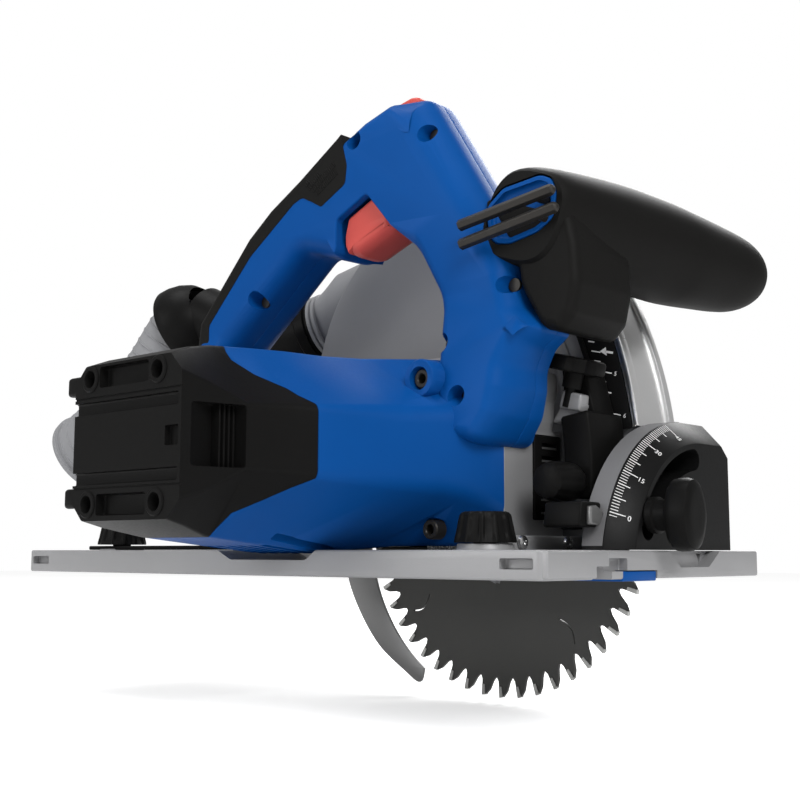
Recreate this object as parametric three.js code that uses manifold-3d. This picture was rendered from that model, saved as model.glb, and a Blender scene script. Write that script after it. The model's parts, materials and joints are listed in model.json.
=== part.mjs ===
// A corded track plunge saw, 165 mm blade, shown fully plunged.
// Millimetres. +X is the cutting direction, +Y the blade side, +Z up.
// The origin is the middle of the sole, the flat underside of the base plate.
import * as THREE from 'three';
import { mergeVertices } from 'three/addons/utils/BufferGeometryUtils.js';
import Module from 'manifold-3d';

const wasm = await Module();
wasm.setup();

// ---------------------------------------------------------------- driving dimensions
const baseLength = 332;
const baseWidth = 168;
const baseHeight = 11;
const bladeRadius = 82.5;
const bladeTeeth = 48;
const bladeY = 39;
const arbor = { x: 53.5, z: 23.7 };
const motor = { x: 23.5, z: 53.3 };
const idler = { x: 44.75, z: 48.5 };
const pivot = { x: -50, z: 42 };
const bevelAxis = { y: 39, z: 0 };
const plungeAngle = THREE.MathUtils.degToRad(34);
const guardFrontRadius = 192;
const guardBack = { x: 40, z: 90, r: 99 };
const guardInnerY = 25;
const guardCoverY = 52;
const flangeY = -33;
const gearCoverY = 12;
const quadrantRadius = 66.5;
const quadrantEdge = 62.5;
const trackKnobY = -60;
const trackKnobPlaces = { front: 122, rear: -117 };
const handleY = -29;
const handleHalf = 17;
const gap = 0.3;

// ---------------------------------------------------------------- materials
const colours = {
  blue: { color: 0x1450a0, roughness: 0.45, metalness: 0.0 },
  black: { color: 0x262524, roughness: 0.6, metalness: 0.0 },
  rubber: { color: 0x2b2a28, roughness: 0.8, metalness: 0.0 },
  cast: { color: 0x8b8c8f, roughness: 0.55, metalness: 0.6 },
  steel: { color: 0xb4b5b8, roughness: 0.3, metalness: 0.9 },
  darkSteel: { color: 0x3a3a3b, roughness: 0.45, metalness: 0.8 },
  bladeSteel: { color: 0x6d6c69, roughness: 0.35, metalness: 0.9 },
  red: { color: 0xd8423c, roughness: 0.4, metalness: 0.0 },
  grey: { color: 0x8f9091, roughness: 0.5, metalness: 0.0 },
};

const group = new THREE.Group();
group.name = 'track_plunge_saw';

// ---------------------------------------------------------------- helpers
function toSolid(geometry) {
  geometry.deleteAttribute('normal');
  geometry.deleteAttribute('uv');
  const merged = mergeVertices(geometry, 1e-4);
  const triVerts = merged.index ? Uint32Array.from(merged.index.array) : undefined;
  const vertProperties = Float32Array.from(merged.attributes.position.array);
  return new wasm.Manifold(new wasm.Mesh({ numProp: 3, vertProperties, triVerts }));
}

function toGeometry(body) {
  const mesh = body.getMesh();
  const geometry = new THREE.BufferGeometry();
  geometry.setAttribute('position', new THREE.BufferAttribute(Float32Array.from(mesh.vertProperties), 3));
  geometry.setIndex(Array.from(mesh.triVerts));
  geometry.computeVertexNormals();
  return geometry;
}

function piece(name, body, colour) {
  const mesh = new THREE.Mesh(toGeometry(body), new THREE.MeshStandardMaterial(colours[colour]));
  mesh.name = name;
  group.add(mesh);
}

function outline(points) {
  return new THREE.Shape(points.map(([a, b]) => new THREE.Vector2(a, b)));
}

function arc(cx, cz, r, from, to, steps) {
  const points = [];
  for (let i = 0; i <= steps; i += 1) {
    const angle = THREE.MathUtils.degToRad(from + ((to - from) * i) / steps);
    points.push([cx + r * Math.cos(angle), cz + r * Math.sin(angle)]);
  }
  return points;
}

function extrude(shape, depth, bevel = 0) {
  return new THREE.ExtrudeGeometry(shape, {
    depth: depth - 2 * bevel,
    bevelEnabled: bevel > 0,
    bevelThickness: bevel,
    bevelSize: bevel,
    bevelOffset: -bevel,
    bevelSegments: 1,
    curveSegments: 8,
  });
}

// A flat piece whose outline is in X and Z and whose thickness runs from y0 to y1.
function slabY(points, y0, y1, bevel = 0) {
  const geometry = extrude(outline(points), y1 - y0, bevel);
  geometry.rotateX(Math.PI / 2);
  geometry.translate(0, y1 - bevel, 0);
  return toSolid(geometry);
}

// A flat piece whose outline is in Y and Z and whose thickness runs from x0 to x1.
function slabX(points, x0, x1, bevel = 0) {
  const geometry = extrude(outline(points), x1 - x0, bevel);
  const turn = new THREE.Matrix4().makeBasis(
    new THREE.Vector3(0, 1, 0),
    new THREE.Vector3(0, 0, 1),
    new THREE.Vector3(1, 0, 0),
  );
  geometry.applyMatrix4(turn);
  geometry.translate(x0 + bevel, 0, 0);
  return toSolid(geometry);
}

// A flat piece whose outline is in X and Y and whose thickness runs from z0 to z1.
function slabZ(points, z0, z1, bevel = 0) {
  const geometry = extrude(outline(points), z1 - z0, bevel);
  geometry.translate(0, 0, z0 + bevel);
  return toSolid(geometry);
}

function box(x0, x1, y0, y1, z0, z1) {
  const geometry = new THREE.BoxGeometry(x1 - x0, y1 - y0, z1 - z0);
  geometry.translate((x0 + x1) / 2, (y0 + y1) / 2, (z0 + z1) / 2);
  return toSolid(geometry);
}

// Round pieces keep few flat sides here; hexagons and octagons keep all of theirs.
function facets(sides) {
  return sides <= 8 ? sides : Math.max(8, 2 * Math.round(sides * 0.33));
}

// A round bar along Y, centred on a point in X and Z.
function rodY(at, r0, r1, y0, y1, sides = 20) {
  const geometry = new THREE.CylinderGeometry(r1, r0, y1 - y0, facets(sides));
  geometry.translate(at.x, (y0 + y1) / 2, at.z);
  return toSolid(geometry);
}

// A round bar from one point to another.
function rod(from, to, r0, r1, sides = 16) {
  const a = new THREE.Vector3(...from);
  const b = new THREE.Vector3(...to);
  const along = b.clone().sub(a);
  const geometry = new THREE.CylinderGeometry(r1, r0, along.length(), facets(sides));
  const turn = new THREE.Quaternion().setFromUnitVectors(new THREE.Vector3(0, 1, 0), along.clone().normalize());
  geometry.applyQuaternion(turn);
  const middle = a.clone().add(b).multiplyScalar(0.5);
  geometry.translate(middle.x, middle.y, middle.z);
  return toSolid(geometry);
}

function ringY(at, inner, outer, y0, y1, sides = 24) {
  return rodY(at, outer, outer, y0, y1, sides).subtract(rodY(at, inner, inner, y0 - 1, y1 + 1, sides));
}

// A skin joining rings that all have the same number of points, closed at both ends.
function loft(rings) {
  const count = rings[0].length;
  const positions = rings.flat(2);
  const index = [];
  for (let ring = 0; ring < rings.length - 1; ring += 1) {
    for (let i = 0; i < count; i += 1) {
      const a = ring * count + i;
      const b = ring * count + ((i + 1) % count);
      index.push(a, b, b + count, a, b + count, a + count);
    }
  }
  const last = (rings.length - 1) * count;
  for (let i = 1; i < count - 1; i += 1) {
    index.push(0, i + 1, i);
    index.push(last, last + i, last + i + 1);
  }
  const geometry = new THREE.BufferGeometry();
  geometry.setAttribute('position', new THREE.Float32BufferAttribute(positions, 3));
  geometry.setIndex(index);
  const body = toSolid(geometry);
  if (body.volume() > 0) return body;
  const flipped = [];
  for (let i = 0; i < index.length; i += 3) flipped.push(index[i], index[i + 2], index[i + 1]);
  geometry.setIndex(flipped);
  return toSolid(geometry);
}

// A tube whose middle line is a smooth curve through the given points.
function pipe(points, r, steps, sides = 14) {
  const curve = new THREE.CatmullRomCurve3(points.map((p) => new THREE.Vector3(...p)));
  const circle = outline(arc(0, 0, r, 0, 360 - 360 / sides, sides - 1));
  return toSolid(new THREE.ExtrudeGeometry(circle, { steps, bevelEnabled: false, extrudePath: curve }));
}

function gearOutline(at, tip, root, teeth) {
  const points = [];
  for (let i = 0; i < teeth * 4; i += 1) {
    const angle = (Math.PI * 2 * (i + 0.5)) / (teeth * 4);
    const r = i % 4 < 2 ? tip : root;
    points.push([at.x + r * Math.cos(angle), at.z + r * Math.sin(angle)]);
  }
  return points;
}

// ---------------------------------------------------------------- base group
const ledgeScrewPlaces = [-38, -6];

function basePlate() {
  const x = baseLength / 2;
  const y = baseWidth / 2;
  const corner = 3;
  let body = slabZ([
    [-x + corner, -y], [x - corner, -y], [x, -y + corner], [x, y - corner],
    [x - corner, y], [-x + corner, y], [-x, y - corner], [-x, -y + corner],
  ], 0, baseHeight, 0.8);
  const stepBlock = box(x - 2, x + 1.6, -y + 1, -43, 0.6, baseHeight - 0.4);
  const ledge = box(117, 123, -46, 19, baseHeight - 1, 17);
  const stopPost = slabX([[3, 10], [19, 10], [17, 16], [17, 24], [7, 24], [6, 16]], 124, 130);
  const frontPad = rod([122, trackKnobY, 10], [122, trackKnobY, 13.5], 11, 10.5, 16);
  body = body.add(stepBlock).add(ledge).add(stopPost).add(frontPad);
  const bladeWindow = box(-68.8, 146, 19.5, 75, -1, 20);
  const gearWell = box(30, 77, -20, 30, -1, 20);
  const motorRelief = slabY([[-15.5, 12], [-2, 6.8], [46, 6.8], [54.5, 12]], -y - 1, -36);
  const rearPocket = box(-162, -147, -y - 1, -y + 4, 4, 8);
  const frontSlot = box(147, 162, -y - 1, -y + 4, 4, 8);
  const edgeSlot = box(x - 4, x + 3, -43, -28, 3, 8);
  const sightNotch = slabX([[2, 12], [48.5, 12], [37, 4.2], [13, 4.2]], x - 6, x + 1);
  const sightMark = slabX([[37, 9.8], [41, 9.8], [39, 6.6]], x - 8, x - 5);
  const trackGroove = box(-x - 1, x + 1, -52, -39, -1, 5);
  const weightPocketNear = box(-140, 100, -78, -71, -1, 5);
  const tabPocket = box(128, x + 1, -31.3, -5.7, -1, 3.3);
  [bladeWindow, gearWell, motorRelief, rearPocket, frontSlot, edgeSlot, sightNotch, sightMark,
    trackGroove, weightPocketNear, tabPocket].forEach((cut) => {
    body = body.subtract(cut);
  });
  Object.values(trackKnobPlaces).forEach((at) => {
    body = body.subtract(rod([at, trackKnobY, -1], [at, trackKnobY, 20], 5, 5, 14));
    body = body.subtract(rod([at, trackKnobY, -1], [at, trackKnobY, 5.3], 9.8, 9.8, 16));
  });
  ledgeScrewPlaces.forEach((at) => {
    body = body.subtract(rod([119, at, 14.1], [125, at, 14.1], 1.9, 1.9, 8));
  });
  return body;
}

// A knob with a stem and an off-centre cam that bears on the side of the track.
function trackKnob(x) {
  const rim = [];
  const lobes = 12;
  for (let i = 0; i < lobes * 2; i += 1) {
    const angle = (Math.PI * i) / lobes;
    rim.push([Math.cos(angle) * (i % 2 ? 11.2 : 12.2), Math.sin(angle) * (i % 2 ? 11.2 : 12.2)]);
  }
  const ring = (scale, z) => rim.map(([a, b]) => [x + a * scale, trackKnobY + b * scale, z]);
  const bottom = 13.9;
  const cap = loft([ring(1, bottom), ring(0.83, bottom + 11.2), ring(0.72, bottom + 12)]);
  const stem = rod([x, trackKnobY, 3], [x, trackKnobY, bottom + 1], 4.6, 4.6, 14);
  const cam = rod([x, trackKnobY + 1.4, 0.8], [x, trackKnobY + 1.4, 4.9], 7.6, 7.6, 16);
  return cap.add(stem).add(cam);
}

// Quadrant outline in Y and Z: an arc about the bevel axis, then a squared blade-side edge.
function quadrantOutline(r, right) {
  const start = THREE.MathUtils.radToDeg(Math.asin((baseHeight + gap) / r));
  const curve = arc(bevelAxis.y, 0, r, 180 - start, 90, 14);
  return [...curve, [right - 15, r], [right - 4, r - 5], [right, r - 14], [right, baseHeight + gap]];
}

function quadrantSlot(x0, x1) {
  const r = 50;
  const inner = arc(bevelAxis.y, 0, r - 4.6, 157, 98, 10);
  const outer = arc(bevelAxis.y, 0, r + 4.6, 98, 157, 10);
  return slabX([...inner, ...outer], x0, x1);
}

function frontQuadrant() {
  const rear = 144;
  const step = 154;
  const face = 163;
  const ring = (r, x) => quadrantOutline(r, quadrantEdge).map(([a, b]) => [x, a, b]);
  let body = loft([ring(quadrantRadius, rear), ring(quadrantRadius, step), ring(quadrantRadius - 6.5, face)]);
  body = body.subtract(quadrantSlot(rear - 1, face + 1));
  const relief = slabX([
    ...arc(bevelAxis.y, 0, 58, 158, 80, 10), [58, 48], [58, 14], [-10, 14],
  ], rear - 1, rear + 7);
  const web = slabX([...arc(bevelAxis.y, 0, 56.5, 160, 86, 12), ...arc(bevelAxis.y, 0, 43.5, 86, 160, 12)], rear, face);
  body = body.subtract(relief.subtract(web));
  const nub = rod([154, 61.5, 51], [154, 65.5, 51], 1.8, 1.8, 10);
  return body.add(nub);
}

function rearQuadrant() {
  const body = slabX(quadrantOutline(quadrantRadius, quadrantEdge), -80, -68.5, 1);
  return body.subtract(quadrantSlot(-82, -67));
}

function buildBase() {
  piece('base_plate', basePlate(), 'cast');
  piece('front_track_cam_knob', trackKnob(trackKnobPlaces.front), 'black');
  piece('rear_track_cam_knob', trackKnob(trackKnobPlaces.rear), 'black');
  const strip = box(-136, -22, -69, -52, 11.2, 13.4)
    .subtract(rod([-117, trackKnobY, 5], [-117, trackKnobY, 20], 5.2, 5.2, 14));
  piece('rear_knob_strip', strip, 'black');
  piece('track_contact_tab', box(128.4, 165.6, -31, -6, -0.9, 3), 'blue');
  piece('front_bevel_quadrant', frontQuadrant(), 'black');
  piece('rear_bevel_quadrant', rearQuadrant(), 'black');
  ledgeScrewPlaces.forEach((y, i) => {
    const head = rod([123.3, y, 14.1], [125.3, y, 14.1], 2.7, 2.4, 12);
    const shank = rod([119.4, y, 14.1], [123.5, y, 14.1], 1.6, 1.6, 8);
    piece(`ledge_screw_${i + 1}`, head.add(shank), 'steel');
  });
}

// ---------------------------------------------------------------- tilting guard group
// Guard outline in X and Z, offset inwards by the given amount.
function guardOutline(inset, bottom) {
  const front = guardFrontRadius - inset;
  const start = THREE.MathUtils.radToDeg(Math.asin((bottom - pivot.z) / front));
  const r = guardBack.r - inset;
  const frontArc = arc(pivot.x, pivot.z, front, start, 46, 12);
  const backArc = arc(guardBack.x, guardBack.z, r, 66, 176, 14);
  return [...frontArc, ...backArc, [-64 + inset, 60], [-64 + inset, bottom]];
}

function turned(angle, point) {
  const dx = point.x - pivot.x;
  const dz = point.z - pivot.z;
  return {
    x: pivot.x + dx * Math.cos(angle) - dz * Math.sin(angle),
    z: pivot.z + dx * Math.sin(angle) + dz * Math.cos(angle),
  };
}

// The arc-shaped slot along which the arbor neck travels, as an outline in X and Z.
function plungeSlot(half) {
  const reach = Math.hypot(arbor.x - pivot.x, arbor.z - pivot.z);
  const low = THREE.MathUtils.radToDeg(Math.atan2(arbor.z - pivot.z, arbor.x - pivot.x));
  const high = low + THREE.MathUtils.radToDeg(plungeAngle);
  const top = turned(plungeAngle, arbor);
  return [
    ...arc(pivot.x, pivot.z, reach + half, low - 12, high, 10),
    ...arc(top.x, top.z, half, high + 20, high + 160, 6),
    ...arc(pivot.x, pivot.z, reach - half, high, low - 12, 10),
  ];
}

function guardBody() {
  const bottom = 13;
  const wall = 2.6;
  let body = slabY(guardOutline(0, bottom), guardInnerY - 3, guardCoverY - gap);
  body = body.subtract(slabY(guardOutline(wall, bottom - 8), guardInnerY, guardCoverY + 1));
  body = body.subtract(slabY(plungeSlot(17.5), guardInnerY - 10, guardInnerY + 1));
  const frontPlate = slabX([
    ...arc(bevelAxis.y, 0, 61, 161, 90, 8), [59, 61], [50, 27], [49, 13], [-19, 13],
  ], 139.2, 143.6);
  const rearPlate = slabX([
    ...arc(bevelAxis.y, 0, 60, 160, 90, 8), [59, 60], [50, 27], [49, 13], [-18, 13],
  ], -68.1, -63.5);
  body = body.add(frontPlate).add(rearPlate);
  const pinBoss = rodY(pivot, 12, 13, 12, 23, 20);
  body = body.add(pinBoss).subtract(rodY(pivot, 6.2, 6.2, 5, 30, 18));
  const mouth = rod([-24, 40.5, 144.6], [-70, 33, 133.5], 15.4, 15.4, 18);
  body = body.subtract(mouth);
  const stud = (x0, x1) => rod([x0, 39 - 43.3, 25], [x1, 39 - 43.3, 25], 4.4, 4.4, 14);
  return body.subtract(stud(136, 146)).subtract(stud(-70, -60));
}

function guardCover() {
  const bottom = 22;
  let body = slabY(guardOutline(0.4, bottom), guardCoverY, guardCoverY + 3.4, 0.8);
  const rib = slabY(guardOutline(12, 34), guardCoverY + 2, guardCoverY + 4.2);
  body = body.add(rib).subtract(box(138.8, 150, 50, 60, 0, 70)).subtract(box(-70, -63.2, 50, 60, 0, 70));
  for (let i = 0; i < 6; i += 1) {
    body = body.subtract(box(22 + i * 11, 27 + i * 11, guardCoverY - 1, guardCoverY + 8, 118, 150));
  }
  return body;
}

function depthScale() {
  const inner = arc(pivot.x, pivot.z, 177, 6.6, 43, 10);
  const outer = arc(pivot.x, pivot.z, 191.6, 43, 6.6, 10);
  return slabY([...inner, ...outer], 19.4, 21.7);
}

// The polished cylindrical track on the front of the guard that the depth stop slides along.
function depthArc() {
  const inner = arc(pivot.x, pivot.z, 192.3, 7, 44, 12);
  const outer = arc(pivot.x, pivot.z, 193.6, 44, 7, 12);
  const band = slabY([...inner, ...outer], 19.4, 51.6);
  const lipOuter = arc(pivot.x, pivot.z, 194.8, 44, 7, 12);
  const lips = slabY([...inner, ...lipOuter], 19.4, 22.6).add(slabY([...inner, ...lipOuter], 48.4, 51.6));
  return band.add(lips);
}

function depthStopSlider() {
  const at = (r, a) => [pivot.x + r * Math.cos(THREE.MathUtils.degToRad(a)), pivot.z + r * Math.sin(THREE.MathUtils.degToRad(a))];
  const shoe = slabY([
    ...[-3, 1, 5, 8.4].map((a) => at(174, a)), ...[8.4, 5, 1, -3].map((a) => at(188, a)),
  ], -9, 19);
  const tower = slabY([at(168, 8), at(184, 8), at(183, 11.2), at(172, 11.2)], -9, 15);
  const body = shoe.add(tower);
  return body.subtract(rod([121.3, -2, 69], [127.5, -2, 92], 2.9, 2.9, 12));
}

function depthStopScrew() {
  const points = [];
  for (let i = 0; i < 16; i += 1) {
    const r = i % 4 < 2 ? 15.5 : 11.5;
    const angle = (Math.PI * 2 * i) / 16;
    points.push([r * Math.cos(angle), r * Math.sin(angle)]);
  }
  const geometry = extrude(outline(points), 5, 1);
  geometry.translate(0, 0, 9);
  const knob = toSolid(geometry);
  const stem = toSolid(new THREE.CylinderGeometry(4, 4, 10, 14).rotateX(Math.PI / 2).translate(0, 0, 5.3));
  const shank = toSolid(new THREE.CylinderGeometry(2.2, 2.2, 8, 10).rotateX(Math.PI / 2).translate(0, 0, -3));
  const tilt = Math.atan2(6, 22);
  const body = knob.add(stem).add(shank);
  return body.rotate([0, THREE.MathUtils.radToDeg(tilt), 0]).translate([123.4, -2, 78.4]);
}

function depthLockKnob() {
  const profile = [[0, -17], [5.5, -17], [7.6, -15], [8.6, -10], [8, -5], [6.4, -1.4], [4.4, 0], [4.4, 5.4], [0, 5.4]];
  const geometry = new THREE.LatheGeometry(profile.map(([r, y]) => new THREE.Vector2(r, y)), 18);
  geometry.translate(131, -14.7, 39);
  return toSolid(geometry);
}

// A point on the quadrant's face in Y and Z: radius, and angle up from the motor side.
function onQuadrant(r, a) {
  const angle = THREE.MathUtils.degToRad(a);
  return [bevelAxis.y - r * Math.cos(angle), r * Math.sin(angle)];
}

function bevelPointer() {
  const block = slabX([[-38, 20], [-25.4, 20], [-21.6, 30], [-36, 30.2]], 133.4, 151);
  const foot = slabX([onQuadrant(59.3, 19), onQuadrant(68, 19), onQuadrant(68, 24.5), onQuadrant(59.3, 26)], 133.4, 138.8);
  return block.add(foot);
}

function pointerTip() {
  return slabX([[-33.5, 21], [-27, 20.8], [-23.8, 26], [-29, 28.6], [-33, 28.2]], 151.3, 152.9);
}

// Where the two clamp bolts stand at zero tilt.
const studY = bevelAxis.y - 43.3;
const studZ = 25;

// A clamp bolt that passes through a quadrant, and its hand knob.
function bevelBolt(from, to, sign) {
  const shank = rod([from, studY, studZ], [to, studY, studZ], 4, 4, 14);
  const head = rod([from - sign * 3, studY, studZ], [from, studY, studZ], 7, 7, 6);
  return shank.add(head);
}

function bevelKnob(x, sign, tall) {
  const points = arc(0, 0, 1, 0, 342, 19).map(([a, b]) => [a * 9.2, b * tall]);
  const ring = (scale, at) => points.map(([a, b]) => [at, studY + a * scale, studZ + b * scale]);
  const rings = [ring(0.86, x), ring(1, x + sign * 2), ring(1, x + sign * 8), ring(0.86, x + sign * 10)];
  const grip = loft(rings);
  const stem = rod([x - sign * 9.4, studY, studZ], [x + sign, studY, studZ], 6.4, 6.4, 16);
  const hole = rod([x - sign * 12, studY, studZ], [x + sign * 5, studY, studZ], 4.25, 4.25, 14);
  return grip.add(stem).subtract(hole);
}

function dustChute() {
  const oval = (x, y, z, wide, tall) => arc(0, 0, 1, 0, 342, 19).map(([a, b]) => [x, y + a * wide, z + b * tall]);
  const outer = loft([oval(-28, 39.6, 145, 13, 31), oval(-48, 38, 141, 14.5, 27), oval(-56, 36.5, 138, 16.6, 20), oval(-61.5, 35.1, 135.7, 17.2, 17.2)]);
  const nose = rod([-60, 35.4, 136.1], [-74, 32, 132.1], 13.9, 13.9, 20);
  const inner = rod([-20, 41.3, 145.6], [-58, 36, 136.9], 14.2, 14.2, 20);
  const noseBore = rod([-56, 36.3, 137.2], [-76, 31.5, 131.5], 11.8, 11.8, 20);
  const guardSide = slabY(guardOutline(-gap, 13), guardInnerY - 3 - gap, guardCoverY + 12);
  return outer.add(nose).subtract(inner).subtract(noseBore).subtract(guardSide);
}

const ductLine = [[-69.5, 33.2, 133.4], [-80, 31, 131], [-98, 27, 131], [-122, 20, 138], [-148, 14.1, 148.2]];

function dustElbow() {
  const collar = rod([-144, 15, 150], [-164, 10.6, 141], 18, 25, 20);
  const flare = rod([-143, 15.2, 150.5], [-165, 10.4, 140.6], 15.2, 22, 20);
  const bore = pipe([[-59, 35.6, 136.4], ...ductLine], 14.8, 7, 12);
  return pipe(ductLine, 17, 6, 12).add(collar).subtract(bore).subtract(flare);
}

const adapterLine = [[-156, 12.3, 144.6], [-170, 9.2, 137.8], [-187, 7.5, 116], [-226, 5, 83], [-252, 4, 66]];
const adapterRadii = [18.4, 20, 22.4, 26.4, 29];

// One round section of the hose adapter, square to the line through its neighbours.
function adapterRing(i, inwards, shift) {
  const here = new THREE.Vector3(...adapterLine[i]);
  const before = new THREE.Vector3(...adapterLine[Math.max(i - 1, 0)]);
  const after = new THREE.Vector3(...adapterLine[Math.min(i + 1, adapterLine.length - 1)]);
  const along = after.sub(before).normalize();
  const across = new THREE.Vector3(0, 1, 0).cross(along).normalize();
  const up = along.clone().cross(across);
  here.addScaledVector(along, shift);
  return arc(0, 0, adapterRadii[i] - inwards, 0, 342, 19).map(([a, b]) => {
    const point = here.clone().addScaledVector(across, a).addScaledVector(up, b);
    return [point.x, point.y, point.z];
  });
}

function hoseAdapter() {
  const wall = 2.4;
  const last = adapterLine.length - 1;
  const outer = loft(adapterLine.map((point, i) => adapterRing(i, 0, 0)));
  const inner = loft(adapterLine.map((point, i) => adapterRing(i, wall, i === 0 ? -3 : i === last ? 1 : 0)));
  return outer.subtract(inner);
}

function returnSpring() {
  const turns = 3;
  const points = [];
  for (let i = 0; i <= turns * 8; i += 1) {
    const angle = (Math.PI * 2 * i) / 8;
    points.push([pivot.x + 10.4 * Math.cos(angle), -34.6 - i * 0.42, pivot.z + 10.4 * Math.sin(angle)]);
  }
  return pipe(points, 1.1, turns * 8, 4);
}

function buildGuard() {
  piece('blade_guard', guardBody(), 'cast');
  piece('guard_side_cover', guardCover(), 'grey');
  piece('depth_arc', depthArc(), 'steel');
  piece('depth_scale', depthScale(), 'black');
  piece('depth_stop_slider', depthStopSlider(), 'black');
  piece('depth_stop_screw', depthStopScrew(), 'black');
  piece('depth_lock_knob', depthLockKnob(), 'black');
  piece('bevel_pointer_block', bevelPointer(), 'black');
  piece('bevel_pointer_tip', pointerTip(), 'grey');
  piece('front_bevel_bolt', bevelBolt(136, 176, 1), 'darkSteel');
  piece('front_bevel_knob', bevelKnob(173, 1, 14.5), 'black');
  piece('rear_bevel_bolt', bevelBolt(-63.2, -95, -1), 'darkSteel');
  piece('rear_bevel_knob', bevelKnob(-91, -1, 13), 'black');
  const pin = rodY(pivot, 5.9, 5.9, -49, 24.6, 18).add(rodY(pivot, 10, 10, -52, -49, 6));
  piece('plunge_pivot_pin', pin, 'steel');
  piece('plunge_return_spring', returnSpring(), 'steel');
  piece('dust_chute', dustChute(), 'grey');
  piece('dust_elbow', dustElbow(), 'black');
  piece('dust_hose_adapter', hoseAdapter(), 'grey');
}

// ---------------------------------------------------------------- plunging head group
// One eight-cornered section of the motor housing, in X and Z, at a station along Y.
function housingSection(y, s, grow = 0) {
  const g = grow;
  return [
    [s.bottomRear - g * 0.4, y, s.low - g], [s.bottomFront + g * 0.4, y, s.low - g],
    [s.front + g, y, s.facetLow - g * 0.4], [s.front + g, y, s.facetHigh + g * 0.4],
    [s.topFront + g * 0.4, y, s.high + g], [s.topRear - g * 0.4, y, s.high + g],
    [s.rear - g, y, s.facetHigh + g * 0.4], [s.rear - g, y, s.facetLow - g * 0.4],
  ];
}

const housingStations = [
  [-161, { rear: -9, front: 60, low: 22, high: 84, facetLow: 29, facetHigh: 77, bottomRear: -2, bottomFront: 53, topRear: -2, topFront: 53 }],
  [-150, { rear: -13, front: 62.5, low: 19.5, high: 88, facetLow: 33, facetHigh: 73, bottomRear: -4, bottomFront: 50, topRear: -4, topFront: 50 }],
  [-134, { rear: -20, front: 66, low: 16, high: 91.5, facetLow: 41, facetHigh: 66, bottomRear: 0, bottomFront: 42, topRear: -2, topFront: 42 }],
  [-75, { rear: -25, front: 92, low: 9.5, high: 97, facetLow: 37, facetHigh: 67, bottomRear: 2, bottomFront: 44, topRear: -4, topFront: 46 }],
  [-50, { rear: -27, front: 105.5, low: 12.6, high: 101, facetLow: 35, facetHigh: 68, bottomRear: 2, bottomFront: 60, topRear: -4, topFront: 54 }],
];

function housingOuter(grow = 0) {
  const rings = housingStations.map(([y, s]) => housingSection(y, s, grow));
  const flange = slabY([
    [-27 - grow, 12.8 - grow], [111.5 + grow, 12.8 - grow], [111.5 + grow, 64], [97 + grow, 88],
    [82, 101 + grow], [-8, 102 + grow], [-27 - grow, 84],
  ], -50.4, flangeY);
  return loft(rings).add(flange);
}

// The stepped bore that holds the motor.
function motorBore() {
  const body = rodY(motor, 37.6, 37.6, -105, flangeY + 1, 28);
  return body.add(rodY(motor, 33, 33, -136, -104, 28)).add(rodY(motor, 27, 27, -157, -135, 24));
}

// The end of the housing taken by the black cap, as an outline in Y and Z swept along X.
function capRegion(shift) {
  const s = shift;
  const points = [
    [-170, 0], [-112 + s, 0], [-112 + s, 20], [-118 + s, 27], [-113.5 + s, 39], [-113.5 + s, 67], [-118 + s, 76], [-130 + s, 86],
    [-130 + s, 91], [-124 + s, 110], [-170, 110],
  ];
  return slabX(points, -60, 140);
}

function flangeScrewPlaces() {
  return [
    { x: 87, z: 82 }, { x: 87, z: 19.5 }, { x: -19, z: 86 }, { x: -19, z: 19.5 },
  ];
}

function motorHousing() {
  let body = housingOuter().subtract(motorBore()).subtract(capRegion(gap));
  flangeScrewPlaces().forEach((at) => {
    body = body.subtract(rodY(at, 5, 5, -80, -40, 16)).subtract(rodY(at, 2.4, 2.4, -81, -30, 12));
  });
  const bossPocket = slabY(postBossOutline(gap), -70, -30);
  body = body.subtract(bossPocket);
  for (let i = 0; i < 5; i += 1) {
    body = body.subtract(box(8 + i * 8, 12 + i * 8, -98, -62, 0, 20));
  }
  return body;
}

function endCap() {
  let body = housingOuter().intersect(capRegion(0)).subtract(motorBore());
  [[1.5, 78.5], [45.5, 78.5], [1.5, 28.5], [45.5, 28.5]].forEach(([x, z]) => {
    body = body.subtract(rodY({ x, z }, 3.3, 3.3, -162, -152, 14));
  });
  body = body.subtract(box(-20, 61.2, -162, -159.4, 64.5, 69)).subtract(box(-20, 61.2, -162, -159.4, 36.5, 41));
  body = body.subtract(box(7, 40, -162, -157.8, 75, 82)).subtract(box(7, 40, -162, -157.8, 24.5, 31));
  body = body.subtract(box(52, 58, -162, -159, 49.5, 56.5));
  const vent = slabZ([[56.5, -156], [70, -156], [70, -134.5], [60, -134.5]], 41, 64);
  body = body.subtract(vent);
  for (let i = 0; i < 4; i += 1) {
    body = body.subtract(box(45, 62, -152.5 + i * 4.4, -150.5 + i * 4.4, 44, 61));
  }
  for (let i = 0; i < 4; i += 1) {
    body = body.subtract(box(-30, -5, -152 + i * 5, -149.6 + i * 5, 44, 62));
  }
  const seat = ringY(motor, 11.3, 14, -157.4, -142, 20);
  const seatBars = box(motor.x - 27.5, motor.x + 27.5, -157.4, -150, motor.z - 3, motor.z + 3)
    .subtract(rodY(motor, 11.3, 11.3, -158, -140, 20));
  body = body.add(seat).add(seatBars);
  return body.subtract(rodY(motor, 8, 8, -158, -140, 16));
}

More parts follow.
